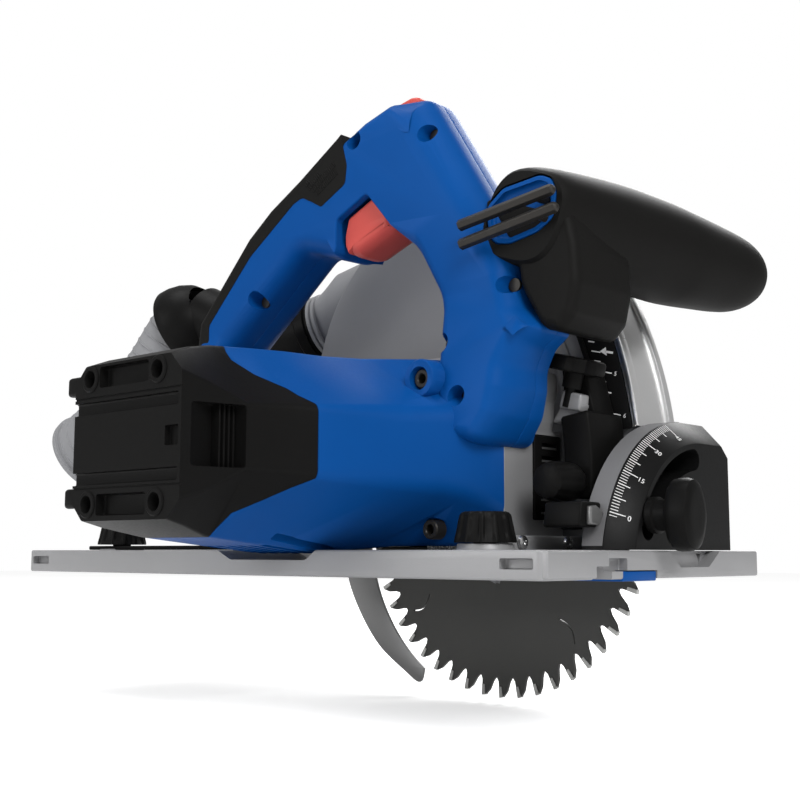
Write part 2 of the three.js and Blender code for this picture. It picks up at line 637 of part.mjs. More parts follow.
function motorPieces() {
  piece('motor_housing', motorHousing(), 'blue');
  piece('motor_end_cap', endCap(), 'black');
  const stator = ringY(motor, 22.3, 37.2, -100, -54, 28);
  piece('motor_stator', stator, 'darkSteel');
  const shaft = rodY(motor, 4.8, 4.8, -149.5, -5, 16);
  const core = rodY(motor, 21.4, 21.4, -98, -56, 24);
  const commutator = rodY(motor, 12.5, 12.5, -128, -112, 24);
  const pinion = slabY(gearOutline(motor, 6.4, 5.4, 8), -13.8, -6);
  piece('armature', shaft.add(core).add(commutator).add(pinion), 'steel');
  let fan = ringY(motor, 5.1, 32, -50, -48, 24);
  const hub = ringY(motor, 5.1, 10, -48.2, -40, 16);
  fan = fan.add(hub);
  for (let i = 0; i < 9; i += 1) {
    const angle = (i * 40 * Math.PI) / 180;
    const vane = new THREE.BoxGeometry(21.5, 7, 1.6);
    vane.translate(20.2, -44.7, 0);
    vane.rotateY(angle);
    vane.translate(motor.x, 0, motor.z);
    fan = fan.add(toSolid(vane));
  }
  piece('cooling_fan', fan, 'black');
  piece('rear_motor_bearing', ringY(motor, 5.1, 11, -149.4, -143, 20), 'steel');
  piece('front_motor_bearing', ringY(motor, 5.1, 13, -31, -22, 20), 'steel');
  [-1, 1].forEach((side, i) => {
    const x = motor.x + side * 13;
    const holder = box(Math.min(x, x + side * 15), Math.max(x, x + side * 15), -124, -116, motor.z - 4, motor.z + 4);
    piece(`carbon_brush_${i + 1}`, holder, 'darkSteel');
  });
  flangeScrewPlaces().slice(0, 2).forEach((at, i) => {
    const socket = rodY(at, 2, 2, -56, -50, 6);
    const screw = rodY(at, 4.3, 4.3, -53, -40.4, 16).add(rodY(at, 2.1, 2.1, -41, -33.5, 12)).subtract(socket);
    piece(`flange_screw_${i + 1}`, screw, 'darkSteel');
  });
}

function gearCase() {
  const lowZ = 13.2;
  const caseOutline = [
    [-27, lowZ], [111, lowZ], [111, 64], [100, 87], [86, 103], [50, 103.6], [10, 103.2], [-14, 98], [-30, 78],
    [-44, 60], ...arc(pivot.x, pivot.z, 12.5, 100, 250, 8), [-40, 27],
  ];
  let body = slabY(caseOutline, flangeY + gap, gearCoverY - gap);
  const spindleBulge = rodY(arbor, 20, 20, -20, gearCoverY - gap, 24);
  const noseAt = { x: 94, z: 83 };
  const nose = rodY(noseAt, 20, 20, flangeY + gap, 2, 40).add(rodY(noseAt, 20, 15, 2, 5.5, 40))
    .subtract(box(106, 125, -19.5, 10, 87.5, 110));
  body = body.add(spindleBulge);
  const upperCut = slabY([[80, 62.5], [120, 62.5], [120, 110], [52, 110], [60, 92]], -4, 30);
  body = body.subtract(upperCut).add(nose);
  const gearSpace = rodY(motor, 8.4, 8.4, -17, 20, 20).add(rodY(idler, 16, 16, -16, 20, 24)).add(rodY(arbor, 17.8, 17.8, -5.6, 20, 24));
  body = body.subtract(gearSpace);
  body = body.subtract(rodY(motor, 6.5, 6.5, -40, 0, 20)).subtract(rodY(motor, 13.2, 13.2, -34, -21.8, 20));
  body = body.subtract(rodY(idler, 4.6, 4.6, -22, -10, 16)).subtract(rodY(arbor, 8.4, 8.4, -16, -2, 16));
  body = body.subtract(rodY(pivot, 6.2, 6.2, -60, 40, 18)).subtract(rodY(pivot, 14.5, 14.5, 11, 40, 16));
  flangeScrewPlaces().forEach((at) => {
    body = body.subtract(rodY(at, 2.2, 2.2, -40, -25, 10));
  });
  body = body.subtract(box(107, 113, -10.3, 10.3, 23.7, 60.6));
  body = body.subtract(handleOuter(gap, true));
  const hollow = slabY([[66, 30], [102, 30], [102, 56], [82, 70], [66, 60]], -26, 20);
  return body.subtract(hollow);
}

function caseVent() {
  let body = box(107.3, 111.6, -10, 10, 24, 60.3);
  for (let i = 0; i < 6; i += 1) {
    const z = 27.2 + i * 5.6;
    body = body.subtract(box(109, 113, -6, 5, z, z + 3));
  }
  return body;
}

function gearCover() {
  const coverOutline = [
    [-20, 30], [6, 26], [34, 20], ...arc(arbor.x, arbor.z, 19.6, 205, 335, 8), [74, 34], [100, 34], [100, 60], [70, 66], [46, 76], [12, 78], [-12, 60],
  ];
  let body = slabY(coverOutline, gearCoverY, 21.4, 1);
  body = body.add(rodY(arbor, 15, 14.6, 20, 25.4, 24));
  const knuckle = rodY(arbor, 12.2, 12.2, 8, 22.2, 20);
  body = body.subtract(knuckle).subtract(rodY(arbor, 8.2, 8.2, 8, 30, 20));
  body = body.subtract(rodY(idler, 4.6, 4.6, 8, 17, 16));
  return body.subtract(rodY(pivot, 16, 16, 0, 40, 20));
}

function gearPieces() {
  piece('gear_case', gearCase(), 'cast');
  piece('gear_case_vent', caseVent(), 'black');
  piece('gear_cover', gearCover(), 'cast');
  const large = slabY(gearOutline(idler, 14.9, 13.4, 20), -13.8, -6);
  const small = slabY(gearOutline(idler, 8.9, 7.6, 12), -6.2, 7);
  piece('idler_gear', large.add(small).add(rodY(idler, 3.9, 3.9, -21, 16, 14)), 'steel');
  const drive = slabY(gearOutline(arbor, 17, 15.4, 22), -2.8, 7).subtract(rodY(arbor, 7.2, 7.2, -10, 20, 18));
  piece('spindle_gear', drive, 'steel');
  const spindle = rodY(arbor, 6.9, 6.9, -15, 33, 18).add(rodY(arbor, 4.9, 4.9, 32, 39.9, 18));
  piece('spindle', spindle.subtract(rodY(arbor, 2.9, 2.9, 28, 45, 12)), 'steel');
  piece('spindle_bearing', ringY(arbor, 7.2, 11.9, 12.6, 21.8, 20), 'steel');
  piece('inner_blade_flange', ringY(arbor, 7.2, 17, 28.5, 33.4, 20).add(ringY(arbor, 5.2, 17, 33.3, 38, 20)), 'darkSteel');
  piece('outer_blade_flange', ringY(arbor, 3.2, 13.4, 40.2, 43.4, 24), 'darkSteel');
  const bolt = rodY(arbor, 2.7, 2.7, 29, 44, 12).add(rodY(arbor, 7, 6.4, 43.6, 48.2, 6));
  piece('arbor_bolt', bolt, 'darkSteel');
}

function sawBlade() {
  const points = [];
  for (let i = 0; i < bladeTeeth; i += 1) {
    const angle = (Math.PI * 2 * i) / bladeTeeth;
    const pitch = (Math.PI * 2) / bladeTeeth;
    points.push([arbor.x + bladeRadius * Math.cos(angle), arbor.z + bladeRadius * Math.sin(angle)]);
    const back = angle + pitch * 0.48;
    points.push([arbor.x + (bladeRadius - 2.6) * Math.cos(back), arbor.z + (bladeRadius - 2.6) * Math.sin(back)]);
    const gullet = angle + pitch * 0.86;
    points.push([arbor.x + (bladeRadius - 7) * Math.cos(gullet), arbor.z + (bladeRadius - 7) * Math.sin(gullet)]);
  }
  const body = slabY(points, bladeY - 0.8, bladeY + 0.8);
  return body.subtract(rodY(arbor, 5.1, 5.1, 30, 45, 20));
}

function rivingKnife() {
  const inner = arc(arbor.x, arbor.z, 86.5, 168, 236, 12);
  const outer = [[2, -55.5], [-8, -50], [-26, -38], [-40, -21], [-49, -3], [-51, 16], [-50, 42]];
  return slabY([...inner, ...outer], bladeY - 0.7, bladeY + 0.9).subtract(rodY({ x: -42, z: 32 }, 2.4, 2.4, 30, 45, 10));
}

function knifeArm() {
  const ring = rodY(arbor, 20, 20, 27.2, 31, 24);
  const bar = slabY([[40, 10], [48, 38], [20, 48], [-48, 46], [-48, 24], [-36, 20]], 27.2, 31);
  const block = box(-48, -34.4, 27.2, 37.9, 24, 44);
  const body = ring.add(bar).add(block).subtract(rodY(arbor, 15.3, 15.3, 20, 40, 24));
  return body.subtract(rodY({ x: -42, z: 32 }, 2.4, 2.4, 30, 45, 10)).subtract(rodY(arbor, 17.4, 17.4, 28.2, 40, 24));
}

function cuttingPieces() {
  piece('saw_blade', sawBlade(), 'bladeSteel');
  piece('riving_knife', rivingKnife(), 'grey');
  piece('riving_knife_arm', knifeArm(), 'darkSteel');
}

function postBossOutline(grow) {
  const g = grow;
  return [
    [86 - g, 97 + g], [88 - g, 80], [92 - g, 67 - g * 0.5], [99.5 - g * 0.7, 55.5 - g], [113 + g * 0.3, 52.5 - g],
    [121 + g, 65 - g * 0.5], [124.6 + g, 76], [124.8 + g, 97 + g],
  ];
}

// The D-handle seen from the side, in X and Z.
function handleProfile() {
  return [
    [-79.5, 112], [-77, 128.3], [-56, 150], [-39.5, 167.3], [-23.5, 179], [-2.5, 190.5], [28, 204.5], [56, 213], [74, 213],
    [78.6, 206], [104.7, 163.6], [117, 145], [121, 125], [127, 110], [137.8, 100.2], [129, 93.5], [124.8, 85], [124.6, 76],
    [121, 65], [113, 52.5], [99.5, 55.5], [92, 67], [87, 80], [86, 104.2], [-47, 104.2], [-58, 104.2], [-62, 99], [-74, 99],
  ];
}

function handleOpening() {
  return [
    [-60, 90], [-56, 111.6], [-2, 154.3], [10, 150.5], [24, 146], [24.1, 164], [43, 173], [58, 155.5], [72, 141.8],
    [84.5, 120], [86.5, 112], [86.5, 104], [75, 90],
  ];
}

function handleOuter(grow, withPad) {
  const y0 = handleY - handleHalf - grow;
  const y1 = handleY + handleHalf + grow;
  let body = slabY(handleProfile(), y0, y1, 5);
  [[y0, 1], [y1, -1]].forEach(([y, side]) => {
    body = body.subtract(slopeChamfer(y, side));
  });
  body = body.subtract(slabY(handleOpening(), y0 - 1, y1 + 1));
  return withPad ? body.add(leanedBoss(grow)) : body;
}

// The wide chamfer down one side of the handle's front slope.
function slopeChamfer(y, side) {
  const top = [79, 215];
  const low = [108, 160];
  const ring = (depth, setBack) => [
    [top[0] + 12, y + side * depth, top[1] + 6], [top[0] - setBack, y + side * depth, top[1] - setBack * 0.55],
    [low[0] - setBack, y + side * depth, low[1] - setBack * 0.55], [low[0] + 12, y + side * depth, low[1] + 6],
  ];
  return loft([ring(-1, 16), ring(11, 0)]);
}

// The lower end of the post, whose near face leans out over the motor housing.
function leanedBoss(grow) {
  const near = [...postBossOutline(grow), [129, 112], [88, 116]];
  const lean = 0.17;
  const rings = [
    near.map(([x, z]) => [x, handleY - handleHalf - grow - (118 - z) * lean, z]),
    near.map(([x, z]) => [x, handleY + handleHalf + grow, z]),
  ];
  return loft(rings);
}

// Hollow that holds the switch, its lever and the trigger.
function handleCavity() {
  const grip = slabY([
    [-60, 130], [-42, 154], [-20, 171], [0, 182], [30, 195], [58, 204], [70, 199], [84, 170], [70, 160], [52, 166],
    [22, 163], [14, 158], [0, 160.5], [-42, 130],
  ], handleY - 11, handleY + 11);
  return grip;
}

function overmoldRegion() {
  const line = [
    [-95, 90], [-62, 90], [-67, 111], [-67, 125], [-36, 156], [-5, 177], [1, 179], [14, 172], [30, 180], [31, 189],
    [27, 206], [24, 222], [-95, 222],
  ];
  return slabY(line, -60, 0);
}

function triggerBody(grow) {
  const g = grow;
  return slabY([
    [24.8 - g, 157], [24.9 - g, 152.2 - g], [27.5 - g, 147.2 - g], [33, 146.8 - g], [57 + g, 155.8 - g], [52 + g, 163],
    [44.5 + g, 171.5 + g], [42, 172 + g], [27 - g, 165.2 + g],
  ], handleY - 12 - g, handleY + 12 + g, 1.5);
}

function triggerSwept() {
  let body = triggerBody(0.5);
  [1, 2, 3, 4, 5.4].forEach((step) => {
    body = body.add(triggerBody(0.5).translate([-0.5 * step, 0, 0.866 * step]));
  });
  return body;
}

function handlePieces() {
  const bossTool = slabY(postBossOutline(0), -70, -30);
  const whole = handleOuter(0, true).subtract(housingOuter(gap).subtract(bossTool));
  const shell = whole.subtract(handleCavity()).subtract(triggerSwept());
  const buttonHole = box(44.4, 67.4, handleY - 6.9, handleY + 6.9, 195, 230);
  const screwRoom = rodY(flangeScrewPlaces()[0], 5.4, 5.4, -80, -30, 16);
  const stopRoom = box(112, 160, handleY + 9.5, 0, 40, 100);
  const cut = shell.subtract(buttonHole).subtract(frontHandleSocket()).subtract(screwRoom).subtract(stopRoom);
  const grip = cut.subtract(overmoldRegion());
  const recesses = [[78, 194], [35, 200], [-33, 134], [121, 120], [90, 98], [102, 74]];
  let left = grip.subtract(box(-120, 200, handleY - 0.15, 60, 0, 260));
  recesses.forEach(([x, z]) => {
    const depth = z < 80 ? -52 : -42;
    left = left.subtract(rodY({ x, z }, 3.4, 3.4, -70, depth, 14));
  });
  const right = grip.subtract(box(-120, 200, -90, handleY + 0.15, 0, 260));
  piece('handle_half_left', biggest(left), 'blue');
  piece('handle_half_right', biggest(right), 'blue');
  const cordInlet = rod([-92, handleY, 115], [-70, handleY, 118], 4.2, 4.2, 14);
  const over = cut.intersect(overmoldRegion().translate([-gap, 0, gap])).subtract(cordInlet);
  piece('handle_overmold', biggest(over), 'rubber');
}

// Boolean cuts can leave slivers, so only the largest part of a body is kept.
function biggest(body) {
  return body.decompose().sort((a, b) => b.volume() - a.volume())[0];
}

// Stations of the front handle: position along Y, centre in X and Z, half width and half height.
const frontHandleStations = [
  [-43.5, 129, 147, 20, 18.6], [-38, 129.4, 147.2, 21.6, 21], [-20, 132.4, 147.5, 22.4, 22], [10, 138.8, 146.4, 22.2, 22],
  [43, 147.2, 142.5, 21.7, 21.7], [78, 157.4, 138.5, 18.9, 18.9], [93, 161.8, 137.2, 15.4, 15.4], [100, 163.3, 136.8, 7, 7],
];

function frontHandleRing([y, x, z, wide, tall]) {
  const lean = THREE.MathUtils.degToRad(24);
  const points = [];
  const sides = 20;
  for (let i = 0; i < sides; i += 1) {
    const angle = (Math.PI * 2 * i) / sides;
    const a = Math.cos(angle) * wide;
    const b = Math.sin(angle) * tall;
    points.push([x + a * Math.cos(lean) - b * Math.sin(lean), y, z + a * Math.sin(lean) + b * Math.cos(lean)]);
  }
  return points;
}

function frontHandleNeck() {
  return slabY([
    [104, 160], [112, 150], [123.9, 128.1], [125.3, 119.1], [127.3, 114.6], [134.6, 102], [137.5, 99.4], [144.7, 97.6],
    [151, 104], [154, 117], [153, 132], [150, 146], [125, 156],
  ], -41.5, 2, 3);
}

function frontHandleOuter() {
  return loft(frontHandleStations.map(frontHandleRing)).add(frontHandleNeck());
}

// The room the D-handle leaves for the front handle.
function frontHandleSocket() {
  return frontHandleOuter().add(rod([112, -30, 150], [122, -30, 150], 21.5, 21.5, 18));
}

function insertOutline(inward) {
  const middle = { x: 129, z: 149 };
  const rim = [
    [110.7, 146], [113.8, 137.3], [122.6, 135.8], [136.7, 138.3], [145.6, 143.3], [146.7, 153.8], [144.4, 160], [138.6, 162.9],
    [119.2, 161], [110.2, 154.2],
  ];
  const scale = 1 - inward / 16;
  return rim.map(([x, z]) => [middle.x + (x - middle.x) * scale, middle.z + (z - middle.z) * scale]);
}

function frontHandlePieces() {
  const pocket = slabY(insertOutline(0), -50, -35);
  const plug = slabY(insertOutline(gap), -43.4, -35.4).subtract(slabY(insertOutline(2.4), -50, -41.2));
  const clear = handleOuter(gap, true).subtract(frontHandleSocket());
  const body = frontHandleOuter().subtract(pocket);
  piece('front_handle', biggest(body.subtract(clear)), 'rubber');
  piece('front_handle_insert', biggest(plug.subtract(keySlot())), 'blue');
  piece('hex_key', hexKey(0), 'darkSteel');
}

// The stored key: two parallel six-sided arms, joined inside the insert, with folded ends that stick out.
const keyArms = [
  { x: 140, z: 151.6, tip: [103.5, 145.4], heel: [147, 152.8] },
  { x: 140.5, z: 143.9, tip: [104, 137.2], heel: [148.5, 145.3] },
];
const keyRadius = 2.4;
const keyDepth = -37.6;
const keyFace = -50;

function keyBridge(grow) {
  const [upper, lower] = keyArms;
  return rod([upper.x, keyDepth, upper.z], [lower.x, keyDepth, lower.z], keyRadius - 0.4 + grow, keyRadius - 0.4 + grow, 6);
}

function hexKey(grow) {
  const r = keyRadius + grow;
  let body = keyBridge(grow);
  keyArms.forEach(({ x, z, tip, heel }) => {
    body = body.add(rod([x, keyFace, z], [x, keyDepth, z], r - 0.4, r - 0.4, 6));
    body = body.add(rod([heel[0], keyFace + 1, heel[1]], [tip[0], keyFace - 2.4, tip[1]], r, r, 6));
  });
  return body;
}

// The slot in the insert through which the joined arms are drawn out.
function keySlot() {
  const side = 0.4;
  const travel = keyBridge(side).translate([0, -14, 0]);
  return hexKey(side).add(wasm.Manifold.hull([keyBridge(side), travel]));
}

function controlPieces() {
  piece('trigger', triggerBody(0), 'red');
  const button = slabY([[46, 204], [60, 206], [66, 210], [66, 216], [61, 217], [48, 214.5]], handleY - 6.5, handleY + 6.5, 0.8);
  piece('lock_off_button', button, 'red');
  const switchBody = slabY([[-22, 151], [2, 163], [14, 168], [14, 184], [0, 178], [-20, 167]], handleY - 8, handleY + 8);
  piece('switch_module', switchBody, 'black');
}

function buildHead() {
  motorPieces();
  gearPieces();
  cuttingPieces();
  handlePieces();
  frontHandlePieces();
  controlPieces();
}

buildBase();
buildGuard();
buildHead();

export default group;
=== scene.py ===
# The looks of the track plunge saw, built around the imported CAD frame.
# Sizes are in millimetres, in the part's own frame, and turned to metres as each mesh is made.
import json
import math

import bmesh
import bpy
from mathutils import Matrix, Vector
from mathutils.geometry import convex_hull_2d, tessellate_polygon


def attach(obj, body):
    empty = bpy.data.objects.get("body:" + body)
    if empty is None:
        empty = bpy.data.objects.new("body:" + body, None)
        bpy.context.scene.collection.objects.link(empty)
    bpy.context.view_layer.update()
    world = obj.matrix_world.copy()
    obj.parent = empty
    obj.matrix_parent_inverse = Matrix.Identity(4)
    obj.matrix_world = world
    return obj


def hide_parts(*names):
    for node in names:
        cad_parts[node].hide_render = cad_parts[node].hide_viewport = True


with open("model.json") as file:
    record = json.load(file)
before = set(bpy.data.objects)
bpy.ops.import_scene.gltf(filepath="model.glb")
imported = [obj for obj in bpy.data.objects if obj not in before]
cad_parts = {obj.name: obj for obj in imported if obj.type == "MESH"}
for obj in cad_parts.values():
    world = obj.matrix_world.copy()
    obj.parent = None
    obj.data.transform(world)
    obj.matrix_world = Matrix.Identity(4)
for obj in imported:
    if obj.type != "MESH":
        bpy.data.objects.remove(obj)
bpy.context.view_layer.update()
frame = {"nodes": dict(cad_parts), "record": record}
MM = 0.001


# ---------------------------------------------------------------- materials
def add_node(tree, kind, **values):
    node = tree.nodes.new("ShaderNode" + kind)
    for name, value in values.items():
        key = name.replace("_", " ")
        if key in node.inputs:
            node.inputs[key].default_value = value
        else:
            setattr(node, name, value)
    return node


def noise(tree, scale, detail=3.0, stretch=(1, 1, 1)):
    """Noise in the object's own coordinates, optionally drawn out along an axis."""
    place = add_node(tree, "TexCoord")
    mapping = add_node(tree, "Mapping")
    mapping.inputs["Scale"].default_value = stretch
    texture = add_node(tree, "TexNoise", Scale=scale, Detail=detail)
    tree.links.new(place.outputs["Object"], mapping.inputs["Vector"])
    tree.links.new(mapping.outputs["Vector"], texture.inputs["Vector"])
    return texture.outputs["Fac"]


def spread(tree, value, low, high):
    span = add_node(tree, "MapRange", To_Min=low, To_Max=high)
    tree.links.new(value, span.inputs["Value"])
    return span.outputs["Result"]


def tint(tree, factor, low, high):
    mix = tree.nodes.new("ShaderNodeMix")
    mix.data_type = "RGBA"
    mix.inputs["A"].default_value = (*low, 1)
    mix.inputs["B"].default_value = (*high, 1)
    tree.links.new(factor, mix.inputs["Factor"])
    return mix.outputs["Result"]


def surface(
    name, colour, rough, metal=0.0, grain=900.0, bump=0.3, mottle=0.08, spec=0.2, stretch=(1, 1, 1),
    edge_sheen=0.0,
):
    """A moulded or metal surface: fine grain, a slow drift of colour, and a painted highlight on convex edges
    if edge_sheen is given.
    """
    rough_swing, relief_depth = 0.08, 0.00006
    edge_start, edge_full = 0.52, 0.6
    material = bpy.data.materials.new(name)
    material.use_nodes = True
    tree = material.node_tree
    shader = tree.nodes["Principled BSDF"]
    shader.inputs["Metallic"].default_value = metal
    shader.inputs["Specular IOR Level"].default_value = spec
    shader.inputs["IOR"].default_value = 1.3
    fine = noise(tree, grain, 3.0, stretch)
    slow = noise(tree, 25.0, 4.0)
    shade = tint(tree, slow, [c * (1 - mottle) for c in colour], [c * (1 + mottle) for c in colour])
    # painted highlight: convex edges, found by pointiness, are lightened towards a brighter tint of the
    # colour
    if edge_sheen:
        edge = add_node(tree, "NewGeometry")
        edge_highlight = add_node(tree, "MapRange", From_Min=edge_start, From_Max=edge_full, To_Max=edge_sheen)
        tree.links.new(edge.outputs["Pointiness"], edge_highlight.inputs["Value"])
        mix = tree.nodes.new("ShaderNodeMix")
        mix.data_type = "RGBA"
        mix.inputs["B"].default_value = (*[min(1.0, c * 1.8 + 0.05) for c in colour], 1)
        tree.links.new(edge_highlight.outputs["Result"], mix.inputs["Factor"])
        tree.links.new(shade, mix.inputs["A"])
        shade = mix.outputs["Result"]
    tree.links.new(shade, shader.inputs["Base Color"])
    uneven = spread(tree, fine, max(0.03, rough - rough_swing), min(1.0, rough + rough_swing))
    tree.links.new(uneven, shader.inputs["Roughness"])
    relief = add_node(tree, "Bump", Strength=bump, Distance=relief_depth)
    tree.links.new(fine, relief.inputs["Height"])
    tree.links.new(relief.outputs["Normal"], shader.inputs["Normal"])
    return material


materials = {
    # the blue plastic carries a painted highlight along its convex edges
    "blue_plastic": surface("blue plastic", (0.0012, 0.053, 0.222), 0.42, spec=0.12, edge_sheen=0.1),
    "black_plastic": surface("black plastic", (0.0058, 0.0057, 0.0056), 0.42, spec=0.11),
    "black_rubber": surface("black rubber", (0.0058, 0.0056, 0.0053), 0.55, grain=1500, bump=0.6, spec=0.16),
    "black_metal": surface("black paint", (0.0055, 0.0055, 0.0056), 0.4, spec=0.2),
    "grey_guard": surface("grey paint", (0.2, 0.202, 0.21), 0.5, grain=1300, bump=0.5, spec=0.25),
    "cast_aluminium": surface(
        "cast aluminium", (0.27, 0.27, 0.275), 0.46, metal=0.3, grain=1500, bump=0.7, spec=0.3,
    ),
    "polished_steel": surface(
        "polished steel", (0.8, 0.8, 0.8), 0.31, metal=1.0, bump=0.05, stretch=(1, 0.02, 1),
    ),
    "bright_steel": surface("bright steel", (0.5, 0.5, 0.5), 0.28, metal=1.0, bump=0.1),
    "satin_steel": surface("satin steel", (0.2, 0.2, 0.2), 0.38, metal=0.7, bump=0.1),
    "dark_steel": surface("black oxide", (0.03, 0.028, 0.026), 0.4, metal=0.6, spec=0.3),
    "blade_steel": surface("blade steel", (0.06, 0.06, 0.058), 0.4, metal=0.8, bump=0.1),
    "red_plastic": surface("red plastic", (0.5, 0.075, 0.062), 0.36, spec=0.3),
}
for part in frame["record"]["subparts"]:
    node = frame["nodes"][part["node"]]
    node.data.materials.clear()
    node.data.materials.append(materials[part["material_slot"]])


# ---------------------------------------------------------------- camera, light and floor
def look_from(place, yaw, pitch, roll, lens):
    camera = bpy.data.objects.new("camera", bpy.data.cameras.new("camera"))
    bpy.context.scene.collection.objects.link(camera)
    camera.data.lens = lens
    camera.data.sensor_width = 36
    camera.data.clip_start = 0.01
    turn = Matrix.Rotation(yaw, 4, "Z") @ Matrix.Rotation(math.radians(90) + pitch, 4, "X")
    camera.matrix_world = Matrix.Translation(place) @ turn @ Matrix.Rotation(roll, 4, "Z")
    bpy.context.scene.camera = camera


def area_light(name, place, aim, size, power):
    light = bpy.data.lights.new(name, "AREA")
    light.shape = "RECTANGLE"
    light.size, light.size_y = size
    light.energy = power
    item = bpy.data.objects.new(name, light)
    item.location = place
    item.rotation_euler = (Vector(aim) - Vector(place)).to_track_quat("-Z", "Y").to_euler()
    bpy.context.scene.collection.objects.link(item)


def seen_or_lit(tree, seen, lit):
    """A brightness that is one value for the camera's own rays and another for all other light."""
    path = tree.nodes.new("ShaderNodeLightPath")
    return spread(tree, path.outputs["Is Camera Ray"], lit, seen)


def build_stage():
    size, floor = 4.0, -0.0615
    sheet = bpy.data.meshes.new("floor")
    corners = [(-size, -size), (size, -size), (size, size), (-size, size)]
    sheet.from_pydata([(x, y, floor) for x, y in corners], [], [(0, 1, 2, 3)])
    ground = bpy.data.objects.new("floor", sheet)
    bpy.context.scene.collection.objects.link(ground)
    pale = surface("pale floor", (0.9, 0.9, 0.9), 0.9, bump=0.0, mottle=0.01, spec=0.05)
    shader = pale.node_tree.nodes["Principled BSDF"]
    shader.inputs["Emission Color"].default_value = (1, 1, 1, 1)
    pale.node_tree.links.new(seen_or_lit(pale.node_tree, 0.55, 0.05), shader.inputs["Emission Strength"])
    ground.data.materials.append(pale)
    world = bpy.data.worlds.new("studio")
    bpy.context.scene.world = world
    world.use_nodes = True
    backdrop = world.node_tree.nodes["Background"]
    backdrop.inputs["Color"].default_value = (1, 1, 1, 1)
    world.node_tree.links.new(seen_or_lit(world.node_tree, 1.0, 0.42), backdrop.inputs["Strength"])


camera_place = Vector((417.785, -438.05, 9.621)) * MM
yaw, pitch, roll = [math.radians(a) for a in (42.022, 7.163, 0.107)]
look_from(camera_place, yaw, pitch, roll, 54.961)
area_light("key", (1.3, -0.7, 1.0), (0, 0, 0.08), (0.7, 0.7), 20)
area_light("top", (-0.3, -0.3, 1.7), (0, 0, 0.08), (1.0, 0.8), 16)
area_light("side", (-0.5, -1.4, 0.5), (0, 0, 0.08), (0.7, 0.7), 8)
area_light("back", (-0.4, 1.5, 1.3), (0, 0, 0.1), (1.2, 0.8), 26)
build_stage()
bpy.context.scene.view_settings.view_transform = "Standard"


# ---------------------------------------------------------------- shape tools
def rounded(points, steps=5):
    """A closed outline from corners (a, b) or (a, b, radius); a radius turns a corner into an arc."""
    out = []
    count = len(points)
    for i, point in enumerate(points):
        here = Vector(point[:2])
        radius = point[2] if len(point) > 2 else 0
        if not radius:
            out.append(here)
            continue
        back = Vector(points[i - 1][:2]) - here
        ahead = Vector(points[(i + 1) % count][:2]) - here
        half = back.angle(ahead) / 2
        reach = min(radius / math.tan(half), back.length * 0.48, ahead.length * 0.48)
        r = reach * math.tan(half)
        middle = here + (back.normalized() + ahead.normalized()).normalized() * (r / math.sin(half))
        start = here + back.normalized() * reach - middle
        swing = start.angle_signed(here + ahead.normalized() * reach - middle)
        for k in range(steps + 1):
            out.append(middle + Matrix.Rotation(-swing * k / steps, 2) @ start)
    return out


def arc(centre, radius, low, high, steps=24):
    """Points on a circle, from one angle to another in degrees."""
    angles = [math.radians(low + (high - low) * i / steps) for i in range(steps + 1)]
    return [Vector((centre[0] + radius * math.cos(t), centre[1] + radius * math.sin(t))) for t in angles]


def polar(centre, r, degrees):
    t = math.radians(degrees)
    return Vector((centre.x + r * math.cos(t), centre.y + r * math.sin(t)))


def ring_of(centre, radius, sides=24):
    return arc(centre, radius, 0, 360 - 360 / sides, sides - 1)


def area_of(loop):
    return sum(a[0] * b[1] - a[1] * b[0] for a, b in zip(loop, loop[1:] + loop[:1])) / 2


def inset(loop, amounts):
    """The outline moved towards its left side by each point's own amount."""
    longest_mitre = 1.6
    out = []
    count = len(loop)
    for i, here in enumerate(loop):
        before = (here - loop[i - 1]).normalized()
        after = (loop[(i + 1) % count] - here).normalized()
        normal = Vector((-before.y - after.y, before.x + after.x)).normalized()
        stretch = min(longest_mitre, 1 / max(0.3, normal.dot(Vector((-before.y, before.x)))))
        out.append(here + normal * amounts[i] * stretch)
    return out


def shrunk(loop, amount):
    return inset(loop, [amount] * len(loop))


def place(axis, a, b, depth):
    """A point of an outline at a depth along the axis: X, Z on axis Y; Y, Z on axis X; X, Y on axis Z."""
    return {"Y": (a, depth, b), "X": (depth, a, b), "Z": (a, b, depth)}[axis]


